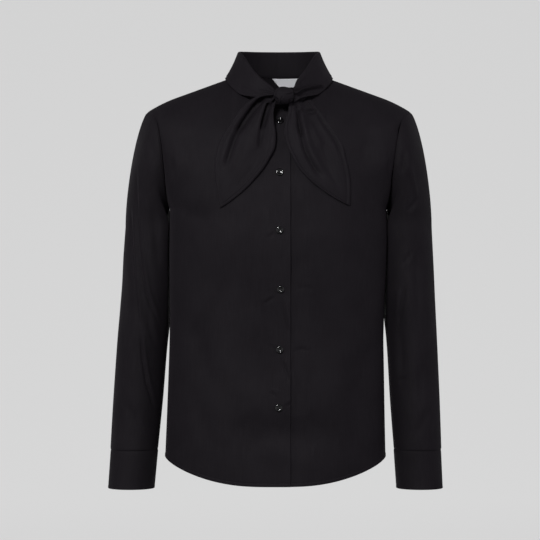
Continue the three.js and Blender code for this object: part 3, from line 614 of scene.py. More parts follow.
# %% Rows of the fronts and back, and their seams
SKIRT_MM, CHEST_MM = 430, 180
HEM_ROWS = np.array([0, 0.4, 1, 2, 3.2, 4.2, 4.7, HEM_MM, 5.4, 6, 7.2])
TOP_ROWS = np.array([0.4, 1.2, 2, 2.8, 3.8, 4.8, 6])
SIDE_SHARES = [0.0022, 0.006, 0.012]
UNDERARM_PLAIN, UNDERARM_FADE, SHOULDER_VALLEY = 6, 25, 0.5
BAND_HALF_WIDTH, BAND_FADE, BAND_BOTTOM_Z, BAND_MM = 34, 12, -90, 5
BAND_RISES = np.array([0, -1.6, 6.0])
BAND_SEAM_AT, BAND_SEAM_DEPTH, BAND_SEAM_WIDTH = 4.4, 1.5, 1.0
heights = in_order(
    HEM_ROWS * UNDERARM_HEIGHT / SKIRT_MM,
    np.linspace(0, UNDERARM_HEIGHT, 165),
    np.linspace(UNDERARM_HEIGHT, 1, 66),
    1 - TOP_ROWS * (1 - UNDERARM_HEIGHT) / CHEST_MM,
)
HEM_STITCH_ROW = int(np.argmin(np.abs(heights - HEM_MM * UNDERARM_HEIGHT / SKIRT_MM)))


def pulled_to_seams(side, points, turn, height):
    """Side and shoulder edges are drawn back half a seam gap from the other panel."""
    at_side = (np.abs(turn) > 0.9999) & (height <= UNDERARM_HEIGHT)
    at_shoulder = (height > 0.9999) & (np.abs(turn) >= NECK_TURN)
    points = points.copy()
    points[..., 1] += np.where(at_side | at_shoulder, side * SEAM_GAP / 2, 0)
    return points


def seam_valleys(points, armhole_columns):
    """Grooves along the side seam and armhole, given columns, and along the shoulder seam. They
    fade out round the underarm point, where four layers meet and stand full."""
    relief = hem_relief(from_edge(points, 0, False))
    from_underarm = np.abs(points[..., 2] - UNDERARM_Z)
    share = ease((from_underarm - UNDERARM_PLAIN) / UNDERARM_FADE)
    for last in armhole_columns:
        relief = relief + valley(from_edge(points, 1, last)) * share
    return relief + valley(from_edge(points, 0, True), SHOULDER_VALLEY)


def with_neckband(points):
    """The last rows rise 6 mm into a narrow band under the knot, a little proud of the panel, with
    the seam's groove below it. It fades out to the sides by an eased step."""
    near = ease((BAND_HALF_WIDTH - np.abs(points[..., 0])) / BAND_FADE)
    near = near * (points[..., 2] > BAND_BOTTOM_Z)
    last = ease(1 - from_edge(points, 0, True) / BAND_MM) * near
    raised = points + last[..., None] * BAND_RISES
    below = from_edge(raised, 0, True)
    return raised, -BAND_SEAM_DEPTH * near * bell(below, BAND_SEAM_AT, BAND_SEAM_WIDTH)


# %% [markdown]
# A front is then laid out as one grid, with its creases and seams pressed in. The lap lifts a little
# between the buttons, by its own table, and stands 0.15 mm proud where the folded edge makes it
# thicker. Under the lap the left front is tucked in by 2.1 mm.

# %% Front panels
PLACKET_STANDS, PLACKET_FROM_X, PLACKET_OVER = 0.15, 12, 4
LIFT_FROM_X, TUCKED_RIDGES, LAP_EDGE_SHARES = 1, 0.2, [0.006, 0.02, 0.045]


def front_points(hand, edge_x, tucked):
    """The front from its own edge to its side seam: columns from the edge to the neck point, then
    from there to the side. The cloth is moved along its own way out by the creases and seams."""
    height = heights[:, None]
    edge_turn = turn_at_x(FRONT, edge_x, height)
    neck_part, side_part = closer_at(LAP_EDGE_SHARES, 50), closer_at(SIDE_SHARES, 60)
    neck = mix(edge_turn, hand * NECK_TURN, neck_part[None, :])
    rest = mix(hand * NECK_TURN, float(hand), side_part[None, 1:] + 0 * height)
    turn = np.concatenate([neck, rest], 1)
    points = pulled_to_seams(FRONT, body_point(FRONT, turn, height), turn, height + 0 * turn)
    out = body_normal(FRONT, turn, height + 0 * turn)
    relief = crease_relief(seen(points), FRONT_CREASES) + seam_valleys(points, [True])
    points, groove = with_neckband(points)
    relief = relief + groove
    x, z = points[..., 0], points[..., 2]
    if tucked:
        reach = (x - LAP_TUCK_STARTS) / (LAP_TUCK_ENDS - LAP_TUCK_STARTS)
        relief = np.where(x < LAP_TUCK_ENDS, np.minimum(relief, TUCKED_RIDGES), relief)
        relief = relief - LAP_TUCK * (1 - ease(reach))
    else:
        (lift,) = through_rows(LAP_LIFT, z)
        relief = relief + lift * ease((x - LIFT_FROM_X) / (LAP_OVER_X - LIFT_FROM_X))
        relief = relief + PLACKET_STANDS * ease((x - PLACKET_FROM_X) / PLACKET_OVER)
    return points + out * relief[..., None]


pieces = {}
front_grids = {}
for name, hand, edge_x, tucked in [
    ("front_right", -1, LAP_OVER_X, False),
    ("front_left", 1, LAP_UNDER_X, True),
]:
    front_grids[name] = front_points(hand, edge_x, tucked)
    pieces[name] = cloth_wall("cloth_" + name, front_grids[name], CLOTH_MM, facing=hand)
    print(name, "points", front_grids[name].shape[:2])


# %% [markdown]
# The back is one panel from side seam to side seam. Nothing of it shows from the front but the
# inside of the neck, so its creases are of the same kind as the front's: soft folds that run down
# from the shoulder blades to the waist and shallow dents behind the arms.

# %% Back panel
# written as x and z in mm
BACK_CREASES = [
    ([(-120, -150), (-96, -260), (-88, -380)], 22, 2.6, 0.35, 0.45),
    ([(118, -140), (98, -240), (84, -360)], 20, 2.3, -0.35, 0.45),
    ([(-30, -330), (-44, -440), (-52, -560)], 24, 2.4, 0.35, 0.45),
    ([(40, -360), (58, -470), (62, -590)], 22, 2.2, -0.3, 0.45),
    ([(-150, -330), (-130, -420), (-120, -520)], 18, 2.0, 0.4, 0.45),
    ([(150, -350), (134, -450), (128, -540)], 18, 2.0, -0.4, 0.45),
    ([(-186, -70), (-172, -110), (-168, -150)], 9, 1.8, 0.5, 0.45),
    ([(184, -78), (171, -112), (166, -150)], 8, 1.6, -0.5, 0.45),
]
back_half = np.concatenate(
    [mix(0, NECK_TURN, np.linspace(0, 1, 22)), mix(NECK_TURN, 1, closer_at(SIDE_SHARES, 34)[1:])]
)
back_turn = np.concatenate([-back_half[:0:-1], back_half])[None, :] + 0 * heights[:, None]
back_height = heights[:, None] + 0 * back_turn
back_grid = pulled_to_seams(BACK, body_point(BACK, back_turn, back_height), back_turn, back_height)
back_relief = crease_relief(back_grid[..., [0, 2]], BACK_CREASES)
back_relief = back_relief + seam_valleys(back_grid, [False, True])
back_grid = back_grid + body_normal(BACK, back_turn, back_height) * back_relief[..., None]
pieces["back"] = cloth_wall("cloth_back", back_grid, CLOTH_MM, facing=-1)
print("back points", back_grid.shape[:2])

# %% [markdown]
# A set-in sleeve starts at the armhole, rounds over the shoulder and falls as a tube of level ovals
# to the cuff. Under the arm it is held just clear of the side of the body. Its creases run long and
# slack from the armhole down the inside of the arm.

# %% The sleeve's surface
# z, x, y, half width, half depth
SLEEVE_SECTIONS = [
    (-235, 200.3, 18, 45.7, 58),
    (-300, 205.5, 18, 44.5, 56),
    (-350, 209.7, 16, 43, 54),
    (-416, 215.8, 12, 40.7, 50),
    (-512, 221.6, 4, 39.8, 45),
    (-590, 226.4, -4.5, 38, 40),
]
SLEEVE_CAP_Z, SLEEVE_END_Z, SLEEVE_CAP_SHARE = -235, -589.6, 8 / 18
# angle round the armhole from the shoulder to the front, way out x, y, z, how long it is kept
SLEEVE_STARTS = [
    (0, 0.55, 0, -0.83, 0.17),
    (90, 0.85, -0.25, -0.45, 0.3),
    (180, 0.6, 0, -0.8, 0.4),
    (270, 0.85, 0.25, -0.45, 0.3),
    (360, 0.55, 0, -0.83, 0.17),
]
SLEEVE_END_KEEPS = 0.33


def armhole_point(hand, around):
    """The edge of the body panels, up the front from the underarm and down the back."""
    front = around <= 180
    along = np.where(front, 1 - around / 180, (around - 180) / 180)
    height = mix(UNDERARM_HEIGHT, 1, along)
    turn = np.full(np.shape(around), float(hand))
    at_front, at_back = body_point(FRONT, turn, height), body_point(BACK, turn, height)
    return np.where(front[..., None], at_front, at_back)


def oval_point(hand, section, z, around, widen=0):
    """A level oval by the same angle, leaning with the sleeve."""
    x, y, half_width, half_depth = section
    angle = np.radians(around)
    across = x + (half_width + widen) * np.cos(angle)
    z = z + 0 * across
    x = hand * across + lean(SLEEVE_LEAN, z)
    return np.stack([x, y - (half_depth + widen) * np.sin(angle), z], -1)


# %% [markdown]
# The sleeve must not touch the side of the body it hangs against, so its points are moved out of the
# body's oval. Its cap is a curve from the armhole to the first oval, and the rest is the tube.

# %% Cap and tube of a sleeve
NARROW_GAP, WIDE_GAP, GAP_GROWS_OVER, CLEAR_FROM = SEAM_GAP, 3, 60, 12


def clear_of_body(hand, points):
    """Moves points out sideways to a small gap from the oval section of the body at their height.
    The gap grows from 0.3 to 3 mm over the first 60 mm below the underarm."""
    x, y, z = np.moveaxis(points, -1, 0)
    half_width, front, back, power = through_rows(BODY_SECTIONS, z)
    left = 1 - (np.abs(y) / np.where(y < 0, front, back)) ** power
    gap = mix(NARROW_GAP, WIDE_GAP, ease((UNDERARM_Z - z) / GAP_GROWS_OVER))
    side = half_width * np.maximum(left, 0) ** (1 / power) + gap
    shift = lean(BODY_LEAN, z)
    free = (z > UNDERARM_Z + CLEAR_FROM) | (left <= 0)
    moved = hand * np.maximum(hand * (x - shift), side) + shift
    return np.stack([np.where(free, x, moved), y, z], -1)


def sleeve_point(hand, around, along):
    """The cap is a Bezier curve from the armhole to the upper arm's oval, and the rest of the sleeve
    goes down through the table of ovals."""
    around, along = np.broadcast_arrays(np.asarray(around, float), np.asarray(along, float))
    down = np.clip((along - SLEEVE_CAP_SHARE) / (1 - SLEEVE_CAP_SHARE), 0, 1)
    z = mix(SLEEVE_CAP_Z, SLEEVE_END_Z, down)
    tube = clear_of_body(hand, oval_point(hand, through_rows(SLEEVE_SECTIONS, z), z, around))
    seam = armhole_point(hand, around)
    out_x, out_y, out_z, keeps = through_rows(SLEEVE_STARTS, around)
    way = unit(np.stack([out_x * hand, out_y, out_z], -1))
    start = seam + way * SEAM_GAP
    top = through_rows(SLEEVE_SECTIONS, np.full(around.shape, float(SLEEVE_CAP_Z)))
    end = clear_of_body(hand, oval_point(hand, top, SLEEVE_CAP_Z, around))
    chord = np.linalg.norm(end - start, axis=-1)[..., None]
    last = end + np.array([0, 0, 1.0]) * chord * SLEEVE_END_KEEPS
    part = np.clip(along / SLEEVE_CAP_SHARE, 0, 1)
    cap = bezier(start, start + way * chord * keeps[..., None], last, end, part)
    cap = np.where((along > 0)[..., None], clear_of_body(hand, cap), cap)
    return np.where((along > SLEEVE_CAP_SHARE)[..., None], tube, cap)


# %% [markdown]
# The arm hangs a little forward, so the cloth bunches inside the elbow. On the right sleeve one long
# crease runs from the armhole into those folds, and the left one has shorter, crosswise pulls.

# %% Creases of the sleeves
UPPER_INSIDE = [(136, 160), (136.9, 200), (139, 240), (142.3, 271), (146, 291)]
LOWER_INSIDE = [(151, 306), (161, 328), (167, 338)]
RIGHT_SLEEVE_CREASES = [
    (at_pixel(*UPPER_INSIDE, *LOWER_INSIDE), 2.2, 2.1, 0.7, 0.22),
    (at_pixel((130.3, 204), (132.6, 251), (135.9, 288), (138, 314), (139.8, 328)), 2.0, 2.2, 0.8, 0.16),
    (at_pixel((140, 331), (142.3, 357), (146.6, 383), (153, 402), (160, 412)), 2.4, 2.2, 0.7, 0.2),
    (at_pixel((150, 397), (155, 405), (161, 412)), 3.6, 2.0, 0.5, 0.4),
    (at_pixel((152, 196), (156, 240), (160, 280)), 7, 2.0, 0.4, 0.4),
    (at_pixel((121, 250), (124, 300), (124, 350)), 9, 2.2, 0.3, 0.4),
    (at_pixel((146, 300), (150, 330), (158, 352)), 5, 1.8, 0.4, 0.4),
    (at_pixel((122, 396), (134, 418), (142, 440)), 7, 1.8, 0.4, 0.4),
    (at_pixel((150, 128), (151, 146), (157, 166)), 6, 1.8, 0.4, 0.4),
]
LEFT_SLEEVE_CREASES = [
    (at_pixel((405, 146), (403.5, 162), (401, 178)), 4, 2.6, 0.5, 0.4),
    (at_pixel((409, 160), (412.5, 178), (417, 200)), 4, -2.2, 0.3, 0.35),
    (at_pixel((418, 196), (414, 204), (406, 213)), 3.2, 2.2, 0.6, 0.4),
    (at_pixel((412, 248), (408, 258), (400, 268)), 3.2, 2.1, 0.6, 0.4),
    (at_pixel((405, 284), (402, 304), (397.5, 326)), 3.6, 2.3, -0.6, 0.3),
    (at_pixel((398, 312), (399, 350), (400, 392)), 11, 2.8, -0.3, 0.4),
    (at_pixel((390, 380), (399, 380.5), (410, 377)), 2.6, 1.8, 0.6, 0.4),
    (at_pixel((416, 236), (417, 280), (419, 330)), 6, 2.0, -0.4, 0.4),
    (at_pixel((425, 240), (426, 290), (428, 342)), 8, -1.8, 0.0, 0.4),
    (at_pixel((424, 350), (420, 384), (421, 416)), 6, 1.7, -0.4, 0.4),
    (at_pixel((437, 398), (424, 421), (414, 441)), 7, 1.8, -0.4, 0.4),
]
# for the back of both sleeves: how far out from the arm's middle line, and z, in mm
SLEEVE_BACK_CREASES = [
    ([(-30, -130), (-18, -200), (-4, -270)], 9, 2.2, 0.4, 0.4),
    ([(26, -160), (20, -240), (10, -310)], 8, 1.8, -0.4, 0.4),
    ([(-24, -300), (-6, -350), (20, -385)], 7, 2.2, 0.5, 0.35),
    ([(-26, -350), (-8, -396), (14, -424)], 6, 1.8, 0.5, 0.35),
    ([(22, -440), (12, -500), (6, -550)], 8, 1.6, -0.4, 0.4),
]

# %% [markdown]
# A sleeve's grid has twice as many columns in front as behind. Its creases are pressed into the side
# they belong to, and the strip that lies against the body stays smooth, so it can't touch it.

# %% Sleeves
ARMHOLE_VALLEY, CUFF_SEAM_VALLEY = (1.0, 2.6), (0.5, 1.6)
SMOOTH_STRIP_FROM, SMOOTH_STRIP_FADE, SMOOTH_BELOW_Z = 0.55, 0.3, -150
FRONT_COLUMNS, BACK_COLUMNS, CAP_ROWS, TUBE_ROWS = 128, 66, 58, 98


def sleeve_points(hand, creases):
    """The tube with a dense first and last row. Each set of creases counts by an eased step of how
    far the cloth there faces the front."""
    at_front = np.linspace(0, 180, FRONT_COLUMNS + 1)[:-1]
    at_back = np.linspace(180, 360, BACK_COLUMNS + 1)[:-1]
    around = np.concatenate([at_front, at_back])[None, :]
    cap = np.linspace(0, SLEEVE_CAP_SHARE, CAP_ROWS)
    tube = np.linspace(SLEEVE_CAP_SHARE, 1, TUBE_ROWS)[1:]
    close = np.array([0.002, 0.006, 0.012])
    along = in_order(cap, tube, close, 1 - close / 2)[:, None]
    points = sleeve_point(hand, around, along)
    normals = grid_normals(points, hand, True)
    z = points[..., 2]
    x_middle = through_rows(SLEEVE_SECTIONS, z)[0] * hand + lean(SLEEVE_LEAN, z)
    facing_front = ease(0.5 - normals[..., 1] * 1.2)
    relief = crease_relief(seen(points), creases) * facing_front
    off_middle = np.stack([(points[..., 0] - x_middle) * hand, z + 0 * x_middle], -1)
    relief += crease_relief(off_middle, SLEEVE_BACK_CREASES) * (1 - facing_front)
    towards_body = ease((normals[..., 0] * -hand - SMOOTH_STRIP_FROM) / SMOOTH_STRIP_FADE)
    towards_body = towards_body * ease((SMOOTH_BELOW_Z - z) / GAP_GROWS_OVER)
    relief = (relief + valley(from_edge(points, 0, False), *ARMHOLE_VALLEY)) * (1 - towards_body)
    relief += valley(from_edge(points, 0, True), *CUFF_SEAM_VALLEY)
    return points + normals * relief[..., None]


sleeve_grids = {}
for name, hand, creases in [
    ("sleeve_right", -1, RIGHT_SLEEVE_CREASES),
    ("sleeve_left", 1, LEFT_SLEEVE_CREASES),
]:
    sleeve_grids[name] = sleeve_points(hand, creases)
    grid = sleeve_grids[name]
    pieces[name] = cloth_wall("cloth_" + name, grid, CLOTH_MM, facing=hand, joined=True)
    print(name, "points", sleeve_grids[name].shape[:2])


# %% [markdown]
# A buttoned cuff is a stiff straight band that laps over itself at the back of the wrist. It is
# double cloth with an inlay, so it keeps round, sharp-edged and nearly free of creases.

# %% Cuffs
# z, x, y, half width, half depth
CUFF_SECTIONS = [(-590, 226.6, -5, 37.2, 37.2), (-651, 230.6, -9, 36.4, 36.4)]
CUFF_MM, CUFF_WALL_MM = 1.3, 1.8
CUFF_LAP_STARTS, CUFF_LAP, CUFF_BUTTON_AROUND, CUFF_BUTTON_Z = 215, 38, 233, -621
CUFF_TOP_Z, CUFF_BOTTOM_Z = -590.0, -651.0
# height, how far in from the lower edge, width: the turned edge's roll and its stitch line
CUFF_EDGE = [(0.15, 2, 2), (-0.25, 5.5, 0.6)]


def cuff_point(hand, around, z):
    """An oval that winds outwards by one wall and a gap over its full turn, so the lap clears."""
    spiral = (CUFF_WALL_MM + SEAM_GAP * 2) * ease((around - CUFF_LAP_STARTS) / 360)
    return oval_point(hand, through_rows(CUFF_SECTIONS, z), z, around, spiral - CUFF_WALL_MM / 2)


cuff_grids = {}
for name, hand in [("cuff_right", -1), ("cuff_left", 1)]:
    around = mix(CUFF_LAP_STARTS, CUFF_LAP_STARTS + 360 + CUFF_LAP, closer_at([0.001, 0.003], 130))
    down = closer_at([0.006, 0.016, 0.03, 0.08], 26)
    z = mix(CUFF_TOP_Z, CUFF_BOTTOM_Z, down)[:, None]
    points = cuff_point(hand, around[None, :], z + 0 * around[None, :])
    normals = grid_normals(points, hand, False)
    from_top, from_bottom = from_edge(points, 0, False), from_edge(points, 0, True)
    relief = valley(from_top, *CUFF_SEAM_VALLEY)
    for height, at, width in CUFF_EDGE:
        relief = relief + height * bell(from_bottom, at, width)
    cuff_grids[name] = points + normals * relief[..., None]
    pieces[name] = cloth_wall("cloth_" + name, cuff_grids[name], CUFF_MM, facing=hand)
    print(name, "points", cuff_grids[name].shape[:2])


# %% [markdown]
# The collar is one band: a stand that rises from the neckline, a soft fold, and a fall that turns
# down over it. At the front it narrows and runs into the knot, and the cloth bunches there. So each
# section is drawn across the band, and the sections follow the neckline round.

# %% Collar
# angle round the neck, fold x, y, z, loose edge x, y, z
COLLAR_ROWS = [
    (0, 0, 58, 50, 0, 77, 3),
    (30, 32, 50, 49.5, 42, 68, 3),
    (60, 55, 28, 48, 73, 40, 2),
    (80, 62, 8, 46, 84, 12, 2.5),
    (95, 62, -8, 43, 86, -10, 1.5),
    (110, 56, -27, 36, 80, -33, -9),
    (128, 48.6, -42, 23.8, 64, -55, -25),
    (145, 40.2, -57, 10, 51, -68, -30),
    (160, 25.4, -71, -7, 36, -79, -33),
    (176, 15, -84, -21, 16, -91, -41),
]
COLLAR_LIFT, COLLAR_ROLL, COLLAR_HOLLOW, COLLAR_MM = -0.4, 2.8, 1.2, 1.1
COLLAR_KNOT_FROM, COLLAR_KNOT_AT, COLLAR_KNOT_SHIFT = 150, 176, 7.2
COLLAR_CREASES = [
    (at_pixel((288, 94.4), (297, 92.6), (303, 90.2), (311, 88), (325, 86)), 1.4, 8.5, 0.1, 0.2),
    (at_pixel((291, 97.5), (300, 98.5), (313, 95.5)), 1.8, 2.2, 0.5, 0.3),
    (at_pixel((279, 95), (268, 92), (256, 90)), 1.8, 1.6, -0.5, 0.35),
    (at_pixel((276, 90), (268, 84), (260, 76)), 2.4, 1.2, -0.5, 0.4),
    (at_pixel((293, 87), (302, 79), (310, 69)), 2.6, 1.4, 0.5, 0.4),
    (at_pixel((239, 78), (243, 87), (252, 95)), 3.0, 1.4, 0.4, 0.4),
    (at_pixel((318, 66), (322, 76), (322, 88)), 4.0, 1.2, -0.4, 0.4),
]


def collar_sections(around):
    """For every angle: straight up the stand to the roll, half a circle round the fold, and down the
    fall with a slight hollow, a sine of the way down. Ways up, down and across come from the foot,
    fold and edge points."""
    hand = hand_of(around)
    fold_x, fold_y, fold_z, edge_x, edge_y, edge_z = through_rows(COLLAR_ROWS, np.abs(around))
    foot = neckline_point(around) + np.array([0, 0, COLLAR_LIFT])
    past = np.abs(around) - COLLAR_KNOT_FROM
    shift = ease(past / (COLLAR_KNOT_AT - COLLAR_KNOT_FROM)) * COLLAR_KNOT_SHIFT
    fold = np.stack([fold_x * hand + shift, fold_y, fold_z], -1)
    edge = np.stack([edge_x * hand + shift, edge_y, edge_z], -1)
    up, down = unit(fold - foot), unit(edge - fold)
    crest = unit(up - down)
    wide = edge - foot
    out = unit(wide - crest * (wide * crest).sum(-1, keepdims=True))
    centre = fold - crest * COLLAR_ROLL
    angle = np.radians(np.linspace(180, 0, 11))[:, None, None]
    roll = centre + (out * np.cos(angle) + crest * np.sin(angle)) * COLLAR_ROLL
    part = np.linspace(0, 1, 15)[:-1, None, None]
    stand = mix(foot, roll[0], part)
    part = closer_at([0.012, 0.04], 34)[1:, None, None]
    fall = mix(roll[-1], edge, part) - out * COLLAR_HOLLOW * np.sin(np.pi * part)
    return np.concatenate([stand, roll, fall])


# %% [markdown]
# The columns stand closer from the sides to the knot, where the creases are. The creases count only
# on the fall and in front, and the loose edge gets its roll and its row of edge stitching.

# %% The collar's creases and edge
CREASED_FROM_ANGLE, FALL_FROM_ROW, FALL_ROWS, CREASED_FROM_Y, CREASED_OVER = 112, 22, 5, -10, 20
# height, how far in from the loose edge, width
COLLAR_EDGE = [(0.4, 2.2, 1.6), (-0.4, 5.4, 1.0)]
plain_part = np.linspace(0, CREASED_FROM_ANGLE, 62)[:-1]
collar_half = np.concatenate([plain_part, np.linspace(CREASED_FROM_ANGLE, COLLAR_KNOT_AT, 84)])
collar_grid = collar_sections(np.concatenate([-collar_half[:0:-1], collar_half]))
collar_out = grid_normals(collar_grid, -1, False)
on_fall = ease((np.arange(collar_grid.shape[0]) - FALL_FROM_ROW) / FALL_ROWS)[:, None]
in_front = ease((CREASED_FROM_Y - collar_grid[..., 1]) / CREASED_OVER)
collar_relief = crease_relief(seen(collar_grid), COLLAR_CREASES) * on_fall * in_front
edge_distance = from_edge(collar_grid, 0, True)
for height, at, width in COLLAR_EDGE:
    collar_relief += height * bell(edge_distance, at, width)
collar_grid = collar_grid + collar_out * collar_relief[..., None]
pieces["collar"] = cloth_wall("cloth_collar", collar_grid, COLLAR_MM, facing=1)
print("collar points", collar_grid.shape[:2])

# %% [markdown]
# The two tie ends are leaves of double cloth, pleated where they leave the knot and flat at the
# point. They lie on the chest: each point takes its depth from the front below it, less a lift that
# shrinks from the knot down, less the pleats. A narrow ridge along the edge is the turned seam.

# %% Outline and pleats of the tie ends
# outer edge x, z, lift off the chest, inner edge x, z, lift, from the knot down to the point
TIE_END_RIGHT = [
    (-10.8, -29.8, 30, -5.6, -43.9, 28),
    (-36.8, -35.7, 27, -8.9, -58.7, 22),
    (-57.3, -51.7, 19, -8, -74.8, 15),
    (-74.3, -72.5, 12.5, -5.6, -91.5, 11),
    (-90.9, -99.5, 7.5, -7, -112.5, 8.5),
    (-97.7, -119.7, 5, -13.8, -127.3, 7),
    (-100.7, -138, 4, -23.4, -144.2, 5.5),
    (-100, -156.8, 3.5, -35.8, -160, 4.5),
    (-97.9, -174.5, 3, -52.7, -178.1, 4),
    (-95.4, -190.9, 3, -70.5, -193, 3.5),
    (-93.1, -201.9, 3, -81.8, -201.5, 3),
    (-91.9, -207.4, 3, -88.3, -205.8, 3),
]
TIE_END_LEFT = [
    (48.6, -36.8, 7, 15.3, -44.4, 20),
    (65.1, -55.8, 6, 14.2, -58.5, 14),
    (76.6, -74.2, 5.5, 9.6, -74.8, 10.5),
    (88.4, -91.8, 5, 8.7, -92.7, 8),
    (98.1, -109.8, 4.5, 13, -109.8, 6.5),
    (103.3, -127.4, 4, 20.5, -127.1, 5.5),
    (107.3, -145, 3.5, 31.8, -146.8, 5),
    (110.2, -162.7, 3.2, 49.6, -166.2, 4),
    (110.9, -180, 3, 69.5, -182.1, 3.5),
    (110.6, -193.2, 3, 88.7, -194.2, 3),
    (110.2, -200.7, 3, 101.1, -200.5, 3),
    (109.4, -203.6, 3, 105.7, -202.8, 3),
]
# place across, height, width
TIE_PLEATS = {
    "tie_end_right": [
        (0.08, 3, 0.12),
        (0.3, -4, 0.1),
        (0.52, 3, 0.12),
        (0.74, -4, 0.08),
        (0.92, 3, 0.1),
    ],
    "tie_end_left": [(0.12, 2, 0.14), (0.38, -3, 0.12), (0.66, 3, 0.16)],
}
PLEATS_END, TIE_MM = 0.75, 1.5
# how far in from the edge, height, width of the turned seam's roll and the dent behind it
TIE_EDGE = [(2.6, 0.85, 1.7), (6.0, -0.6, 1.5)]

# %% [markdown]
# The creases fan out from the knot, deep where the cloth is gathered and dying out towards the
# point. Each end has four of them, one broad soft fold that stands out, and a faint one lower down.

# %% Creases of the tie ends
OUTER_RIGHT = [(273, 94.5), (262, 99.5), (255, 106.5), (249, 114), (243, 123), (237, 134)]
LOWER_RIGHT = [(245, 118), (239, 129), (234.4, 139), (230.6, 150), (227.4, 160), (225, 170)]
INNER_RIGHT = [(272, 95), (268.5, 104), (266, 112), (263.4, 121.5), (261.6, 131)]
INNER_LEFT = [(294, 103), (297.4, 110), (298.6, 118), (299.6, 127), (302, 137)]
LOWER_LEFT = [(298.6, 118), (301.4, 133), (304, 146), (309, 158), (316, 170), (325, 181)]
ACROSS_LEFT = [(296, 103), (300, 108), (306, 111), (313, 111), (317, 106)]
OUTER_LEFT = [(313, 105), (319, 114), (326, 124), (333, 133.5), (338.5, 144), (342, 158)]
TIE_CREASES = {
    "tie_end_right": [
        (at_pixel(*OUTER_RIGHT), 4.6, 7.5, -0.35, 0.2),
        (at_pixel(*LOWER_RIGHT), 4.2, 4.6, -0.5, 0.25),
        (at_pixel(*INNER_RIGHT), 2.9, 7.5, -0.3, 0.22),
        (at_pixel((263.6, 119), (261.4, 131), (260, 141), (259.4, 152)), 3.0, 3.2, -0.3, 0.35),
        (at_pixel((250, 140), (240, 162), (232, 184)), 8.0, -1.0, 0.0, 0.4),
        (at_pixel((266, 152), (252, 170), (238, 188)), 4.0, 1.2, 0.4, 0.4),
    ],
    "tie_end_left": [
        (at_pixel(*INNER_LEFT), 3.2, 7.0, 0.3, 0.2),
        (at_pixel(*LOWER_LEFT), 3.8, 4.4, 0.4, 0.25),
        (at_pixel(*ACROSS_LEFT), 3.2, 5.5, 0.0, 0.2),
        (at_pixel(*OUTER_LEFT), 4.4, 3.6, 0.4, 0.25),
        (at_pixel((308, 118), (314, 132), (324, 152)), 6.5, -3.0, 0.0, 0.35),
        (at_pixel((322, 158), (332, 176), (342, 192)), 4.0, 1.0, 0.4, 0.4),
    ],
}

# %% [markdown]
# Each end is one grid, with a row for every level between the knot and the point, drawn straight
# from its outer to its inner edge.

# %% Tie ends
def tie_end_points(rows, pleats, creases, hand):
    """Rows smoothed between the table's; across each, straight from the outer to the inner edge.
    The pleats are bells, up or down, that fade evenly down to three quarters of the length. The
    creases and the turned seam along the free edges are pushed out of the cloth on top of that."""
    numbered = [(float(n), *row) for n, row in enumerate(rows)]
    last = len(rows) - 1
    down = np.concatenate([np.linspace(0, last, 120), [last - 0.02, 0.03]])
    down = np.unique(np.round(down, 5))
    across = closer_at([0.012, 0.035], 60)[None, :]
    out_x, out_z, out_lift, in_x, in_z, in_lift = through_rows(numbered, down[:, None])
    x, z = mix(out_x, in_x, across), mix(out_z, in_z, across)
    lift = mix(out_lift, in_lift, across)
    sine = np.minimum(1, np.abs(x) / NECK_HALF_WIDTH)
    neckline = neckline_point(180 - np.degrees(np.arcsin(sine)))
    chest, _ = body_at(FRONT, x, np.minimum(z, neckline[..., 2] - 1))
    fade = np.maximum(0, 1 - down[:, None] / last / PLEATS_END)
    relief = sum(height * bell(across, at, width) for at, height, width in pleats)
    points = np.stack([x, chest[..., 1] - lift - relief * fade, z], -1)
    normals = grid_normals(points, hand, False)
    sides = np.minimum(from_edge(points, 1, False), from_edge(points, 1, True))
    from_free_edge = np.minimum(sides, from_edge(points, 0, True))
    fine = crease_relief(seen(points), creases)
    for at, height, width in TIE_EDGE:
        fine = fine + height * bell(from_free_edge, at, width)
    return points + normals * fine[..., None]


tie_grids = {}
for name, rows, hand in [("tie_end_right", TIE_END_RIGHT, -1), ("tie_end_left", TIE_END_LEFT, 1)]:
    tie_grids[name] = tie_end_points(rows, TIE_PLEATS[name], TIE_CREASES[name], hand)
    pieces[name] = cloth_wall("cloth_" + name, tie_grids[name], TIE_MM, facing=hand)
    print(name, "points", tie_grids[name].shape[:2])


# %% [markdown]
# The knot is the tie's own cloth wrapped once round itself. It is drawn as a squat closed form whose
# wraps are shallow grooves running round it, with four short creases where the cloth turns under.

# %% Knot
KNOT_CENTRE = np.array([7.2, -94, -32.8])
KNOT_HALF_WIDTH, KNOT_HALF_DEPTH, KNOT_HALF_HEIGHT = 15.4, 13, 12.9
KNOT_ROUNDNESS, KNOT_CROWN, WRAPS, WRAP_TURN, WRAP_DEPTH = 0.66, 2.8, 3, 1.1, 0.09
KNOT_POLE, KNOT_RINGS, KNOT_COLUMNS = 0.02, 80, 128
KNOT_CREASES = [
    (at_pixel((273, 96.5), (276.5, 99.5), (279, 104)), 2.0, 3.0, 0.5, 0.25),
    (at_pixel((283.5, 95), (280.8, 99.5), (282, 105)), 0.9, 1.2, 0.5, 0.3),
    (at_pixel((295, 92.5), (290, 94), (285, 94.6)), 1.3, 1.5, -0.5, 0.35),
    (at_pixel((294, 99), (290.5, 100), (288, 104)), 1.2, 1.3, 0.5, 0.35),
]


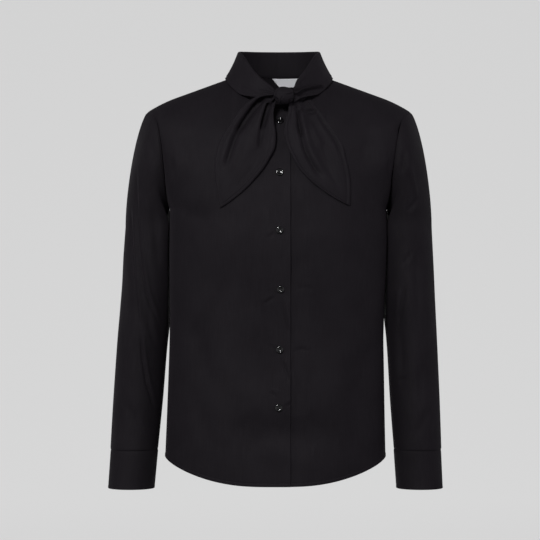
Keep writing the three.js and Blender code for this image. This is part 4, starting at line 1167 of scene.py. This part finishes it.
def knot_points():
    """Rings from pole to pole along x: the radius is the sine of the polar angle to the power 0.66,
    less a groove that is a cosine of three times that angle, turned a little round the ring. The top
    is raised by up to 2.8 mm, by the squared sines of both angles."""
    polar = np.linspace(KNOT_POLE, np.pi - KNOT_POLE, KNOT_RINGS)[:, None]
    angle = np.linspace(0, 2 * np.pi, KNOT_COLUMNS + 1)[:-1][None, :]
    groove = np.cos(WRAPS * polar + WRAP_TURN * np.sin(angle))
    radius = np.sin(polar) ** KNOT_ROUNDNESS * (1 - WRAP_DEPTH * (1 + groove) / 2)
    x = KNOT_CENTRE[0] - KNOT_HALF_WIDTH * np.cos(polar) + 0 * angle
    y = KNOT_CENTRE[1] + KNOT_HALF_DEPTH * radius * np.cos(angle)
    top = np.maximum(0, np.sin(angle)) ** 2 * np.sin(polar) ** 2
    z = KNOT_CENTRE[2] + KNOT_HALF_HEIGHT * radius * np.sin(angle) + KNOT_CROWN * top
    return np.stack([x, y, z], -1)


# %% [markdown]
# Knot and buttons are solid, so their grids are closed to a skin without an inner face.

# %% Closed forms
def closed_surface(name, points, facing):
    """A grid joined round its columns, with each end closed by a fan to the middle of its ring."""
    rows, columns = points.shape[:2]
    index = point_numbers(rows, columns, True)
    here, after = index[:, :-1], index[:, 1:]
    first, last = rows * columns, rows * columns + 1
    ends = np.concatenate(
        [
            np.stack([after[0], here[0], np.full(columns, first)], 1),
            np.stack([here[-1], after[-1], np.full(columns, last)], 1),
        ]
    )
    faces = np.concatenate([triangles_of(index), ends])[:, ::facing]
    corners = np.concatenate([points.reshape(-1, 3), points[[0, -1]].mean(1)])
    u, v = lengths_along(points, 1), lengths_along(points, 0)
    flat = np.stack(np.broadcast_arrays(u[None, :], v[:, None]), -1).reshape(-1, 2)
    flat = np.concatenate([flat, [[0, v[0]], [0, v[-1]]]])
    return new_object(name, corners, faces, flat[faces].reshape(-1, 2))


knot_grid = knot_points()
knot_out = grid_normals(knot_grid, 1, True)
outside = np.sign(((knot_grid - KNOT_CENTRE) * knot_out).sum(-1).mean())
knot_relief = crease_relief(seen(knot_grid), KNOT_CREASES) * ease(-knot_out[..., 1] * outside * 2)
knot_grid = knot_grid + knot_out * outside * knot_relief[..., None]
pieces["tie_knot"] = closed_surface("cloth_tie_knot", knot_grid, int(outside))
print("knot points", knot_grid.shape[:2])

# %% [markdown]
# Shirt buttons of this kind are cast and polished black polyester: a round rim, a dish inside it and
# four holes, sewn on with thread. A profile turned round gives the rim and dish, and the holes are
# pressed into the dish where the thread goes down.

# %% Buttons
# x and z of each front button
FRONT_BUTTONS = [
    (0.8, -70.8),
    (0.6, -152.4),
    (0.6, -242.1),
    (2.1, -333.9),
    (0.6, -427.5),
    (-0.9, -517.9),
]
# step along the profile, radius, height
BUTTON_PROFILE = [
    (0, 0.05, 0),
    (1, 3.0, 0),
    (2, 4.7, 0.05),
    (3, 5.7, 0.6),
    (4, 6.0, 1.3),
    (5, 5.75, 2.1),
    (6, 5.0, 2.65),
    (7, 4.2, 2.75),
    (8, 3.5, 2.35),
    (9, 2.8, 1.85),
    (10, 1.4, 1.6),
    (11, 0.05, 1.6),
]
BUTTON_RADIUS, BUTTON_CLEARANCE, CUFF_BUTTON_SCALE = 6, 0.45, 0.85
HOLE_AT, HOLE_RADIUS, HOLE_DEPTH, HOLE_EDGE, DISH_FROM_STEP = 1.25, 0.5, 1.1, 0.15, 8


def button_points():
    """The turned profile, in a frame where z is the button's axis. Near each hole the dish sinks
    1.1 mm, by an eased step of the distance from the hole's middle."""
    step = np.concatenate([np.linspace(0, 9, 46), np.linspace(9, 11, 26)[1:]])
    radius, height = through_rows(BUTTON_PROFILE, step)
    angle = np.linspace(0, 2 * np.pi, 57)[:-1]
    x, y = radius[:, None] * np.cos(angle), radius[:, None] * np.sin(angle)
    away = np.hypot(np.abs(x) - HOLE_AT, np.abs(y) - HOLE_AT)
    sunk = HOLE_DEPTH * (1 - ease((away - HOLE_RADIUS + HOLE_EDGE) / (2 * HOLE_EDGE)))
    sunk = sunk * (step[:, None] > DISH_FROM_STEP)
    return np.stack([x, y, height[:, None] - sunk], -1)


# %% [markdown]
# A front button lies on the lap, lifted clear of the cloth all round. A cuff's button stands on the
# outer layer of its lap, one full turn further round the spiral.

# %% Place the buttons
def frame_on(normal):
    """Three ways at a place on the cloth: across, up and out."""
    across = unit(np.cross([0.0, 0.0, 1.0], normal))
    return np.stack([across, np.cross(normal, across), normal])


def front_lift(point, normal):
    """How far the cloth within a button's radius stands above the plane at its middle."""
    angle = np.linspace(0, 2 * np.pi, 9)
    x, z = point[0] + BUTTON_RADIUS * np.cos(angle), point[2] + BUTTON_RADIUS * np.sin(angle)
    around, _ = body_at(FRONT, x, z)
    return max(0.0, float(((around - point) @ normal).max()))


button_places = {}
for number, (x, z) in enumerate(FRONT_BUTTONS, 1):
    point, normal = body_at(FRONT, x, z)
    lift = front_lift(point, normal) + BUTTON_CLEARANCE
    button_places[f"button_{number}"] = (point + normal * lift, normal, 1.0)
for name, hand in [("cuff_button_right", -1), ("cuff_button_left", 1)]:
    around = CUFF_BUTTON_AROUND + 360.0 + np.array([-1.0, 0.0, 1.0])
    before, point, after = cuff_point(hand, around, CUFF_BUTTON_Z + 0 * around)
    below = cuff_point(hand, around[1], CUFF_BUTTON_Z - 1.0)
    normal = unit(np.cross(after - before, below - point)) * hand
    button_places[name] = (point + normal * BUTTON_CLEARANCE, normal, CUFF_BUTTON_SCALE)

buttons = {}
for name, (place, normal, scale) in button_places.items():
    points = place + button_points() * scale @ frame_on(normal)
    buttons[name] = closed_surface("polished_" + name, points, 1)
print("buttons:", len(buttons))

# %% [markdown]
# Thread is seen in three places: bars through the buttons' holes, dense bars round each buttonhole
# and the running stitch of the hem. One stitch is a six-sided bar with its ends pressed down into
# the cloth, and all of one seam's stitches are one mesh, made by adding every place to one bar.

# %% Thread
STITCH_MM, PITCH_MM, THREAD_RADIUS, THREAD_SINKS, BAR_SIDES = 2.4, 3.1, 0.2, 1.3, 6


def thread_bars(name, places, ways, outs, length, radius, sink):
    """A bar is six rings of six points along its way, thin and sunk at both ends. Each point is its
    place + along * way + side * (out x way) + height * out, worked out for all bars at once."""
    along = np.array([-0.5, -0.44, -0.25, 0.25, 0.44, 0.5]) * length
    thick = np.array([0.3, 0.8, 1, 1, 0.8, 0.3]) * radius
    drop = np.array([1, 0.35, 0, 0, 0.35, 1]) * sink
    angle = np.linspace(0, 2 * np.pi, BAR_SIDES + 1)[:-1]
    side = thick[:, None] * np.cos(angle)
    height = thick[:, None] * np.sin(angle) - drop[:, None]
    ways, outs = unit(ways)[:, None, None], unit(outs)[:, None, None]
    sideways = np.cross(outs, ways)
    bars = places[:, None, None] + along[:, None, None] * ways
    bars = bars + side[..., None] * sideways + height[..., None] * outs
    size = len(along) * BAR_SIDES
    sides = triangles_of(point_numbers(len(along), BAR_SIDES, True))
    cap = np.array([[0, 5, 4], [0, 4, 3], [0, 3, 2], [0, 2, 1]])
    faces = np.concatenate([sides, cap, (cap + size - BAR_SIDES)[:, ::-1]])
    faces = (faces[None] + size * np.arange(len(places))[:, None, None]).reshape(-1, 3)
    return new_object(name, bars.reshape(-1, 3), faces)


def running_stitches(name, path, outs):
    """Stitches at an even pitch along a path of points, by its running length."""
    run = np.concatenate([[0], np.cumsum(np.linalg.norm(np.diff(path, axis=0), axis=1))])
    at = np.arange(PITCH_MM, run[-1] - PITCH_MM, PITCH_MM)

    def along(values, where):
        """The path's values at running lengths, straight between its points."""
        return np.stack([np.interp(where, run, values[:, k]) for k in range(3)], -1)

    ways = along(path, at + 0.5) - along(path, at - 0.5)
    sink = THREAD_RADIUS * THREAD_SINKS
    outs = along(outs, at)
    return thread_bars(name, along(path, at), ways, outs, STITCH_MM, THREAD_RADIUS, sink)


# %% [markdown]
# Each hem has its row of stitches along the dent of the fold. Each button is held by four bars of
# thread, two side by side over each pair of holes.

# %% Hem stitches and button thread
BAR_HEIGHT, BAR_OVERLAP, BAR_RADIUS, BAR_SINK = 1.75, 0.5, 0.17, 0.5
BARS_AT = HOLE_AT * np.array([[-1.12], [-0.88], [0.88], [1.12]])
threads = {}
for name, grid, facing in [
    ("hem_stitches_front_right", front_grids["front_right"], -1),
    ("hem_stitches_front_left", front_grids["front_left"], 1),
    ("hem_stitches_back", back_grid, -1),
]:
    outs = grid_normals(grid, facing, False)[HEM_STITCH_ROW]
    threads[name] = running_stitches(name, grid[HEM_STITCH_ROW], outs)
for name, (place, normal, scale) in button_places.items():
    across, up, out = frame_on(normal)
    spots = place + out * BAR_HEIGHT * scale + across * scale * BARS_AT
    ups, outs = np.tile(up, (len(spots), 1)), np.tile(out, (len(spots), 1))
    length = 2 * HOLE_AT * scale + BAR_OVERLAP
    threads["thread_" + name] = thread_bars(
        "thread_" + name, spots, ups, outs, length, BAR_RADIUS * scale, BAR_SINK * scale
    )
print("thread meshes:", len(threads))

# %% [markdown]
# A buttonhole is a slit with thread laid side by side round it. Here it runs up and down, a little
# longer than the button, so its two ends peep out above and below.

# %% Buttonholes
SLIT_HALF_LENGTH, SLIT_HALF_WIDTH, SLIT_BARS, SLIT_STRAIGHT = 7.4, 1.0, 54, 2.2
SLIT_END_ROUND, SLIT_END_WIDTH, SLIT_LEAN, SLIT_STANDS = 1.6, 0.25, 0.9, 0.1
SLIT_BAR_MM, SLIT_BAR_SINK = 1.5, 0.12


def buttonhole(name, x, z):
    """Bars on an oval path round the slit, each lying across the path. Along the slit the path is
    tanh(2.2 sin) of an even angle, which crowds the bars at the two ends; aside it is the cosine,
    drawn in at the ends by a square root as in a circle."""
    angle = 2 * np.pi * np.linspace(0, 1, SLIT_BARS, endpoint=False)
    up = SLIT_HALF_LENGTH * np.tanh(SLIT_STRAIGHT * np.sin(angle)) / np.tanh(SLIT_STRAIGHT)
    circle = np.sqrt(np.maximum(0, 1 - (up / SLIT_HALF_LENGTH) ** 2))
    narrowed = np.minimum(1, SLIT_END_ROUND * circle + SLIT_END_WIDTH)
    side = SLIT_HALF_WIDTH * np.cos(angle) * narrowed
    points, outs = body_at(FRONT, x + side, z + up)
    across = unit(np.cross([0.0, 0.0, 1.0], outs))
    ups = np.cross(outs, across)
    ways = unit(across * np.cos(angle)[:, None] + ups * (np.sin(angle) * SLIT_LEAN)[:, None])
    places = points + outs * SLIT_STANDS
    return thread_bars(name, places, ways, outs, SLIT_BAR_MM, THREAD_RADIUS, SLIT_BAR_SINK)


holes = {}
for number, (x, z) in enumerate(FRONT_BUTTONS, 1):
    holes[f"buttonhole_{number}"] = buttonhole(f"buttonhole_{number}", x, z)
print("buttonholes:", len(holes))

# %% [markdown]
# The label is a short piece of white satin ribbon sewn inside the back of the neck, with its ends
# folded in on the slant. It is bare. It follows the inside of the back a little way in from it.

# %% Label
LABEL_X, LABEL_HALF_WIDTH, LABEL_TOP_Z, LABEL_BOTTOM_Z, LABEL_SLANT = 13, 24, 8.2, -5, 0.9
LABEL_IN_FROM_BACK, LABEL_MM = 3.5, 0.5
LABEL_ROLL, LABEL_ROLL_AT, LABEL_ROLL_WIDTH = 0.25, 1.6, 1.2
across = closer_at([0.006, 0.02, 0.05], 40)[None, :]
up = closer_at([0.02, 0.06], 16)[:, None]
z = mix(LABEL_BOTTOM_Z, LABEL_TOP_Z, up) + 0 * across
label_half = LABEL_HALF_WIDTH - LABEL_SLANT * (LABEL_TOP_Z - z)
x = LABEL_X + label_half * (2 * across - 1)
back_point, back_way = body_at(BACK, x, z)
label_grid = back_point - back_way * LABEL_IN_FROM_BACK
label_out = grid_normals(label_grid, 1, False)
ends = np.minimum(from_edge(label_grid, 1, False), from_edge(label_grid, 1, True))
label_roll = LABEL_ROLL * bell(ends, LABEL_ROLL_AT, LABEL_ROLL_WIDTH)
label_grid = label_grid + label_out * label_roll[..., None]
pieces["neck_label"] = cloth_wall("ribbon_neck_label", label_grid, LABEL_MM, facing=1)
print("label, mm:", 2 * LABEL_HALF_WIDTH, "by", LABEL_TOP_Z - LABEL_BOTTOM_Z)

# %% [markdown]
# Materials start from what the real ones are. One function turns an sRGB hex colour to linear light,
# and one adds a node with its settings and links. The others add the kinds of node that come back in
# several materials.

# %% Material helpers
def linear(hex_colour):
    """Each channel c over 255: c/12.92 below 0.04045, otherwise ((c+0.055)/1.055)^2.4."""
    channels = np.array([int(hex_colour[i : i + 2], 16) for i in (1, 3, 5)]) / 255
    values = np.where(channels <= 0.04045, channels / 12.92, ((channels + 0.055) / 1.055) ** 2.4)
    return (*values.tolist(), 1.0)


def join(node, output, other, socket):
    """Links a node's output to another node's socket."""
    node.id_data.links.new(node.outputs[output], other.inputs[socket])


def add_node(owner, kind, links=(), **settings):
    """Adds a node to a material or world; settings are its properties, or its sockets' values under
    `set`; links are (own input, other node, other output)."""
    node = owner.node_tree.nodes.new("ShaderNode" + kind)
    for socket, value in settings.pop("set", {}).items():
        node.inputs[socket].default_value = value
    for key, value in settings.items():
        setattr(node, key, value)
    for own, other, output in links:
        join(other, output, node, own)
    return node


def new_material(name, inputs):
    """A material with a Principled surface, its inputs set to these values, and its output."""
    material = bpy.data.materials.new(name)
    material.use_nodes = True
    material.node_tree.nodes.clear()
    surface = add_node(material, "BsdfPrincipled", set=inputs)
    add_node(material, "OutputMaterial", [("Surface", surface, "BSDF")])
    return material, surface


# %% [markdown]
# Two patterns do all the work. Stripes stand for threads laid side by side, and noise for whatever
# is uneven. A wave texture of scale 1 repeats every pi / 10 of its coordinates, so a wanted distance
# between stripes is that divided by the scale.

# %% Patterns and what they change
WAVE_UNIT = 2 * np.pi / 20


def stripes(material, vector, output, direction, apart_mm, distortion):
    """Bands a given distance apart, bent out of line by the distortion."""
    return add_node(
        material,
        "TexWave",
        [("Vector", vector, output)],
        bands_direction=direction,
        set={"Scale": WAVE_UNIT / (apart_mm / MM_PER_METRE), "Distortion": distortion},
    )


def noise(material, vector, output, scale, detail=2.0, roughness=0.5):
    """Patches about 1/scale metres wide, with that many finer layers on top."""
    values = {"Scale": scale, "Detail": detail, "Roughness": roughness}
    return add_node(material, "TexNoise", [("Vector", vector, output)], set=values)


def ranged(owner, value, low, high, to_low, to_high, **settings):
    """Stretches a value from one range to another, evenly unless the settings say otherwise."""
    limits = {"From Min": low, "From Max": high, "To Min": to_low, "To Max": to_high}
    return add_node(owner, "MapRange", [("Value", value, "Value")], set=limits, **settings)


def two_colours(material, surface, factor, output, first, second):
    """Blends two colours by a factor, as the surface's colour."""
    blend = add_node(material, "Mix", [("Factor", factor, output)], data_type="RGBA")
    blend.inputs["A"].default_value = linear(first)
    blend.inputs["B"].default_value = linear(second)
    join(blend, "Result", surface, "Base Color")


def fine_relief(material, surface, height, output, strength, depth_mm, under=None):
    """Turns a height to a bump of the surface, on top of the bump `under` it."""
    links = [("Height", height, output)] + ([("Normal", under, "Normal")] if under else [])
    values = {"Strength": strength, "Distance": depth_mm / MM_PER_METRE}
    bump = add_node(material, "Bump", links, set=values)
    join(bump, "Normal", surface, "Normal")
    return bump


# %% [markdown]
# Poplin is a plain weave of fine combed cotton with more threads along than across, dyed black and
# pressed: nearly matt, with a faint soft sheen at grazing angles. Its threads are 0.2 mm apart,
# finer than one picture step, so they are drawn 0.6 mm apart. Slubs, the thicker stretches of
# thread, run a few centimetres along the cloth, and they turn the roughness and colour a little.

# %% Black cotton poplin
WARP_MM, WEFT_MM, SLUBS_ACROSS_AND_ALONG, PRESSING_SCALE = 0.6, 0.6 * 1.35, (700, 28, 1), 18.0
SHADE_LOW, SHADE_HIGH, ROUGH_LOW, ROUGH_HIGH = 0.7, 1.3, 0.78, 0.66
poplin_values = {
    "Specular IOR Level": 0.12,
    "Sheen Weight": 0.03,
    "Sheen Roughness": 0.45,
    "Sheen Tint": linear("#CFC6D2"),
}
poplin, surface = new_material("black_cotton_poplin", poplin_values)
cloth_map = add_node(poplin, "UVMap", uv_map="cloth")
warp = stripes(poplin, cloth_map, "UV", "X", WARP_MM, 0.0)
weft = stripes(poplin, cloth_map, "UV", "Y", WEFT_MM, 0.0)
crossing = [(0, warp, "Fac"), (1, weft, "Fac"), (2, warp, "Fac")]
weave = add_node(poplin, "Math", crossing, operation="MULTIPLY_ADD")
stretch = {"Scale": SLUBS_ACROSS_AND_ALONG}
stretched = add_node(poplin, "Mapping", [("Vector", cloth_map, "UV")], set=stretch)
slubs = noise(poplin, stretched, "Vector", 1.0, 3.0, 0.6)
place = add_node(poplin, "TexCoord")
pressing = noise(poplin, place, "Object", PRESSING_SCALE, 3.0, 0.55)
shade = add_node(poplin, "Math", [(0, slubs, "Fac"), (1, pressing, "Fac")], operation="ADD")
colour = ranged(poplin, shade, SHADE_LOW, SHADE_HIGH, 0.0, 1.0)
two_colours(poplin, surface, colour, "Result", "#151216", "#1A171B")
rough = ranged(poplin, shade, SHADE_LOW, SHADE_HIGH, ROUGH_LOW, ROUGH_HIGH)
join(rough, "Result", surface, "Roughness")
woven = fine_relief(poplin, surface, weave, "Value", 0.35, 0.12)
fine_relief(poplin, surface, slubs, "Fac", 0.3, 0.2, under=woven)
print("poplin threads drawn", WARP_MM, "mm apart")

# %% [markdown]
# The other finishes are simpler. Button polyester is a hard plastic that is cast and tumbled to a
# wet-looking polish. Sewing thread is twisted cotton, a shade lighter than the cloth. The label is
# white polyester satin, woven with its long threads across, so it has a soft shine.

# %% Buttons, thread and label
FINE_STRIPES_MM, SWIRL_SCALE = 0.5, 420.0
polyester_values = {
    "Base Color": linear("#0B0A0C"),
    "Roughness": 0.08,
    "IOR": 1.56,
    "Coat Weight": 0.6,
    "Coat Roughness": 0.03,
}
button_black, surface = new_material("polished_black_polyester", polyester_values)
place = add_node(button_black, "TexCoord")
swirl = noise(button_black, place, "Object", SWIRL_SCALE)
fine_relief(button_black, surface, swirl, "Fac", 0.08, 0.1)

thread_values = {"Roughness": 0.7, "Specular IOR Level": 0.2}
thread_black, surface = new_material("black_cotton_thread", thread_values)
place = add_node(thread_black, "TexCoord")
twist = stripes(thread_black, place, "Object", "DIAGONAL", FINE_STRIPES_MM, 0.5)
two_colours(thread_black, surface, twist, "Fac", "#151316", "#232024")

ribbon_values = {"Roughness": 0.5, "Sheen Weight": 0.2}
ribbon_white, surface = new_material("white_satin_ribbon", ribbon_values)
ribbon_map = add_node(ribbon_white, "UVMap", uv_map="cloth")
satin = stripes(ribbon_white, ribbon_map, "UV", "Y", FINE_STRIPES_MM, 0.4)
two_colours(ribbon_white, surface, satin, "Fac", "#E3E4EA", "#F4F4F7")
fine_relief(ribbon_white, surface, satin, "Fac", 0.2, 0.1)
print("materials:", len(bpy.data.materials))

# %% [markdown]
# Each piece takes its material, rides on the one body of the shirt and stands for its CAD solid.
# Collar, cuffs and tie ends are double cloth.

# %% Dress the pieces
for name, piece in pieces.items():
    ribbon = name == "neck_label"
    piece.data.materials.append(ribbon_white if ribbon else poplin)
    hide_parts(name)
    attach(piece, "root")
for name, button in buttons.items():
    button.data.materials.append(button_black)
    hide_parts(name)
    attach(button, "root")
for thread in [*threads.values(), *holes.values()]:
    thread.data.materials.append(thread_black)
    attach(thread, "root")

# %% [markdown]
# The studio is a pale paper sweep, lit through from behind so that it comes out as one even grey.
# The room's light is brightest level with the shirt and dark overhead and below, so shoulders and hem
# stay darker than the chest.

# %% Studio
SWEEP_HALF_WIDTH, SWEEP_FLOOR_Z, SWEEP_WALL_Y, SWEEP_RADIUS = 2.2, -1.7, 5.2, 0.5
SWEEP_FRONT_Y, SWEEP_TOP_Z = 0.8, 1.6


def sweep():
    """A floor, a quarter circle up behind the shirt and a wall, as one grid in metres."""
    width = np.linspace(-SWEEP_HALF_WIDTH, SWEEP_HALF_WIDTH, 3)
    angle = np.linspace(0, np.pi / 2, 25)
    y = SWEEP_WALL_Y - SWEEP_RADIUS * (1 - np.sin(angle))
    z = SWEEP_FLOOR_Z + SWEEP_RADIUS * (1 - np.cos(angle))
    y = np.concatenate([[SWEEP_FRONT_Y], y, [SWEEP_WALL_Y]])
    z = np.concatenate([[SWEEP_FLOOR_Z], z, [SWEEP_TOP_Z]])
    x, y = np.broadcast_arrays(width[None, :], y[:, None])
    return np.stack([x, y, z[:, None] + 0 * x], -1)


sweep_grid = sweep() * MM_PER_METRE
squares = squares_of(point_numbers(*sweep_grid.shape[:2], False)).reshape(-1, 4)
floor = new_object("studio_sweep", sweep_grid.reshape(-1, 3), squares)
floor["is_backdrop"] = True
paper_values = {
    "Base Color": linear("#8C8C8C"),
    "Roughness": 0.9,
    "Specular IOR Level": 0.1,
    "Emission Color": linear("#FFFFFF"),
    "Emission Strength": 0.545,
}
paper, surface = new_material("pale_studio_paper", paper_values)
place = add_node(paper, "TexCoord")
fibres = noise(paper, place, "Object", 300.0)
fine_relief(paper, surface, fibres, "Fac", 0.05, 0.5)
floor.data.materials.append(paper)

world = bpy.data.worlds.new("room_light")
world.use_nodes = True
background = world.node_tree.nodes["Background"]
direction = add_node(world, "TexCoord")
parts = add_node(world, "SeparateXYZ", [("Vector", direction, "Generated")])
slope = add_node(world, "Math", [(0, parts, "Z")], operation="ABSOLUTE")
level = ranged(world, slope, 0.1, 0.8, 0.33, 0.06, interpolation_type="SMOOTHSTEP")
background.inputs["Color"].default_value = linear("#F4F4F6")
join(level, "Result", background, "Strength")
bpy.context.scene.world = world

# %% [markdown]
# Three soft boxes model the creases: the key, above and a little left of the camera, and one at each
# side, the right one stronger. The buttons mirror the key alone, so each has one pair of glints. The
# view transform is the plain one.

# %% Soft boxes
def soft_box(name, place, aim, size, power):
    """A square area light at a place, turned to face its aim."""
    data = bpy.data.lights.new(name, "AREA")
    data.shape, data.size, data.size_y, data.energy = "RECTANGLE", size[0], size[1], power
    box = bpy.data.objects.new(name, data)
    way = np.array(aim, float) - np.array(place, float)
    flat = np.hypot(way[0], way[1])
    box.location = place
    box.rotation_euler = (np.arctan2(flat, -way[2]), 0, np.arctan2(way[1], way[0]) - np.pi / 2)
    bpy.context.scene.collection.objects.link(box)
    return box


soft_box("key_box", (-0.65, -2.5, 0.95), (0, 0, -0.2), (0.65, 0.4), 52)
for side_box in [
    soft_box("right_box", (2.4, -1.0, 0.1), (0, 0, -0.3), (0.7, 1.6), 26),
    soft_box("left_box", (-2.4, -0.9, 0.1), (0, 0, -0.3), (0.7, 1.6), 16),
]:
    side_box.visible_glossy = False
bpy.context.scene.view_settings.view_transform = "Standard"

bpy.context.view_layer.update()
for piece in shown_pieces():
    piece.data.calc_loop_triangles()
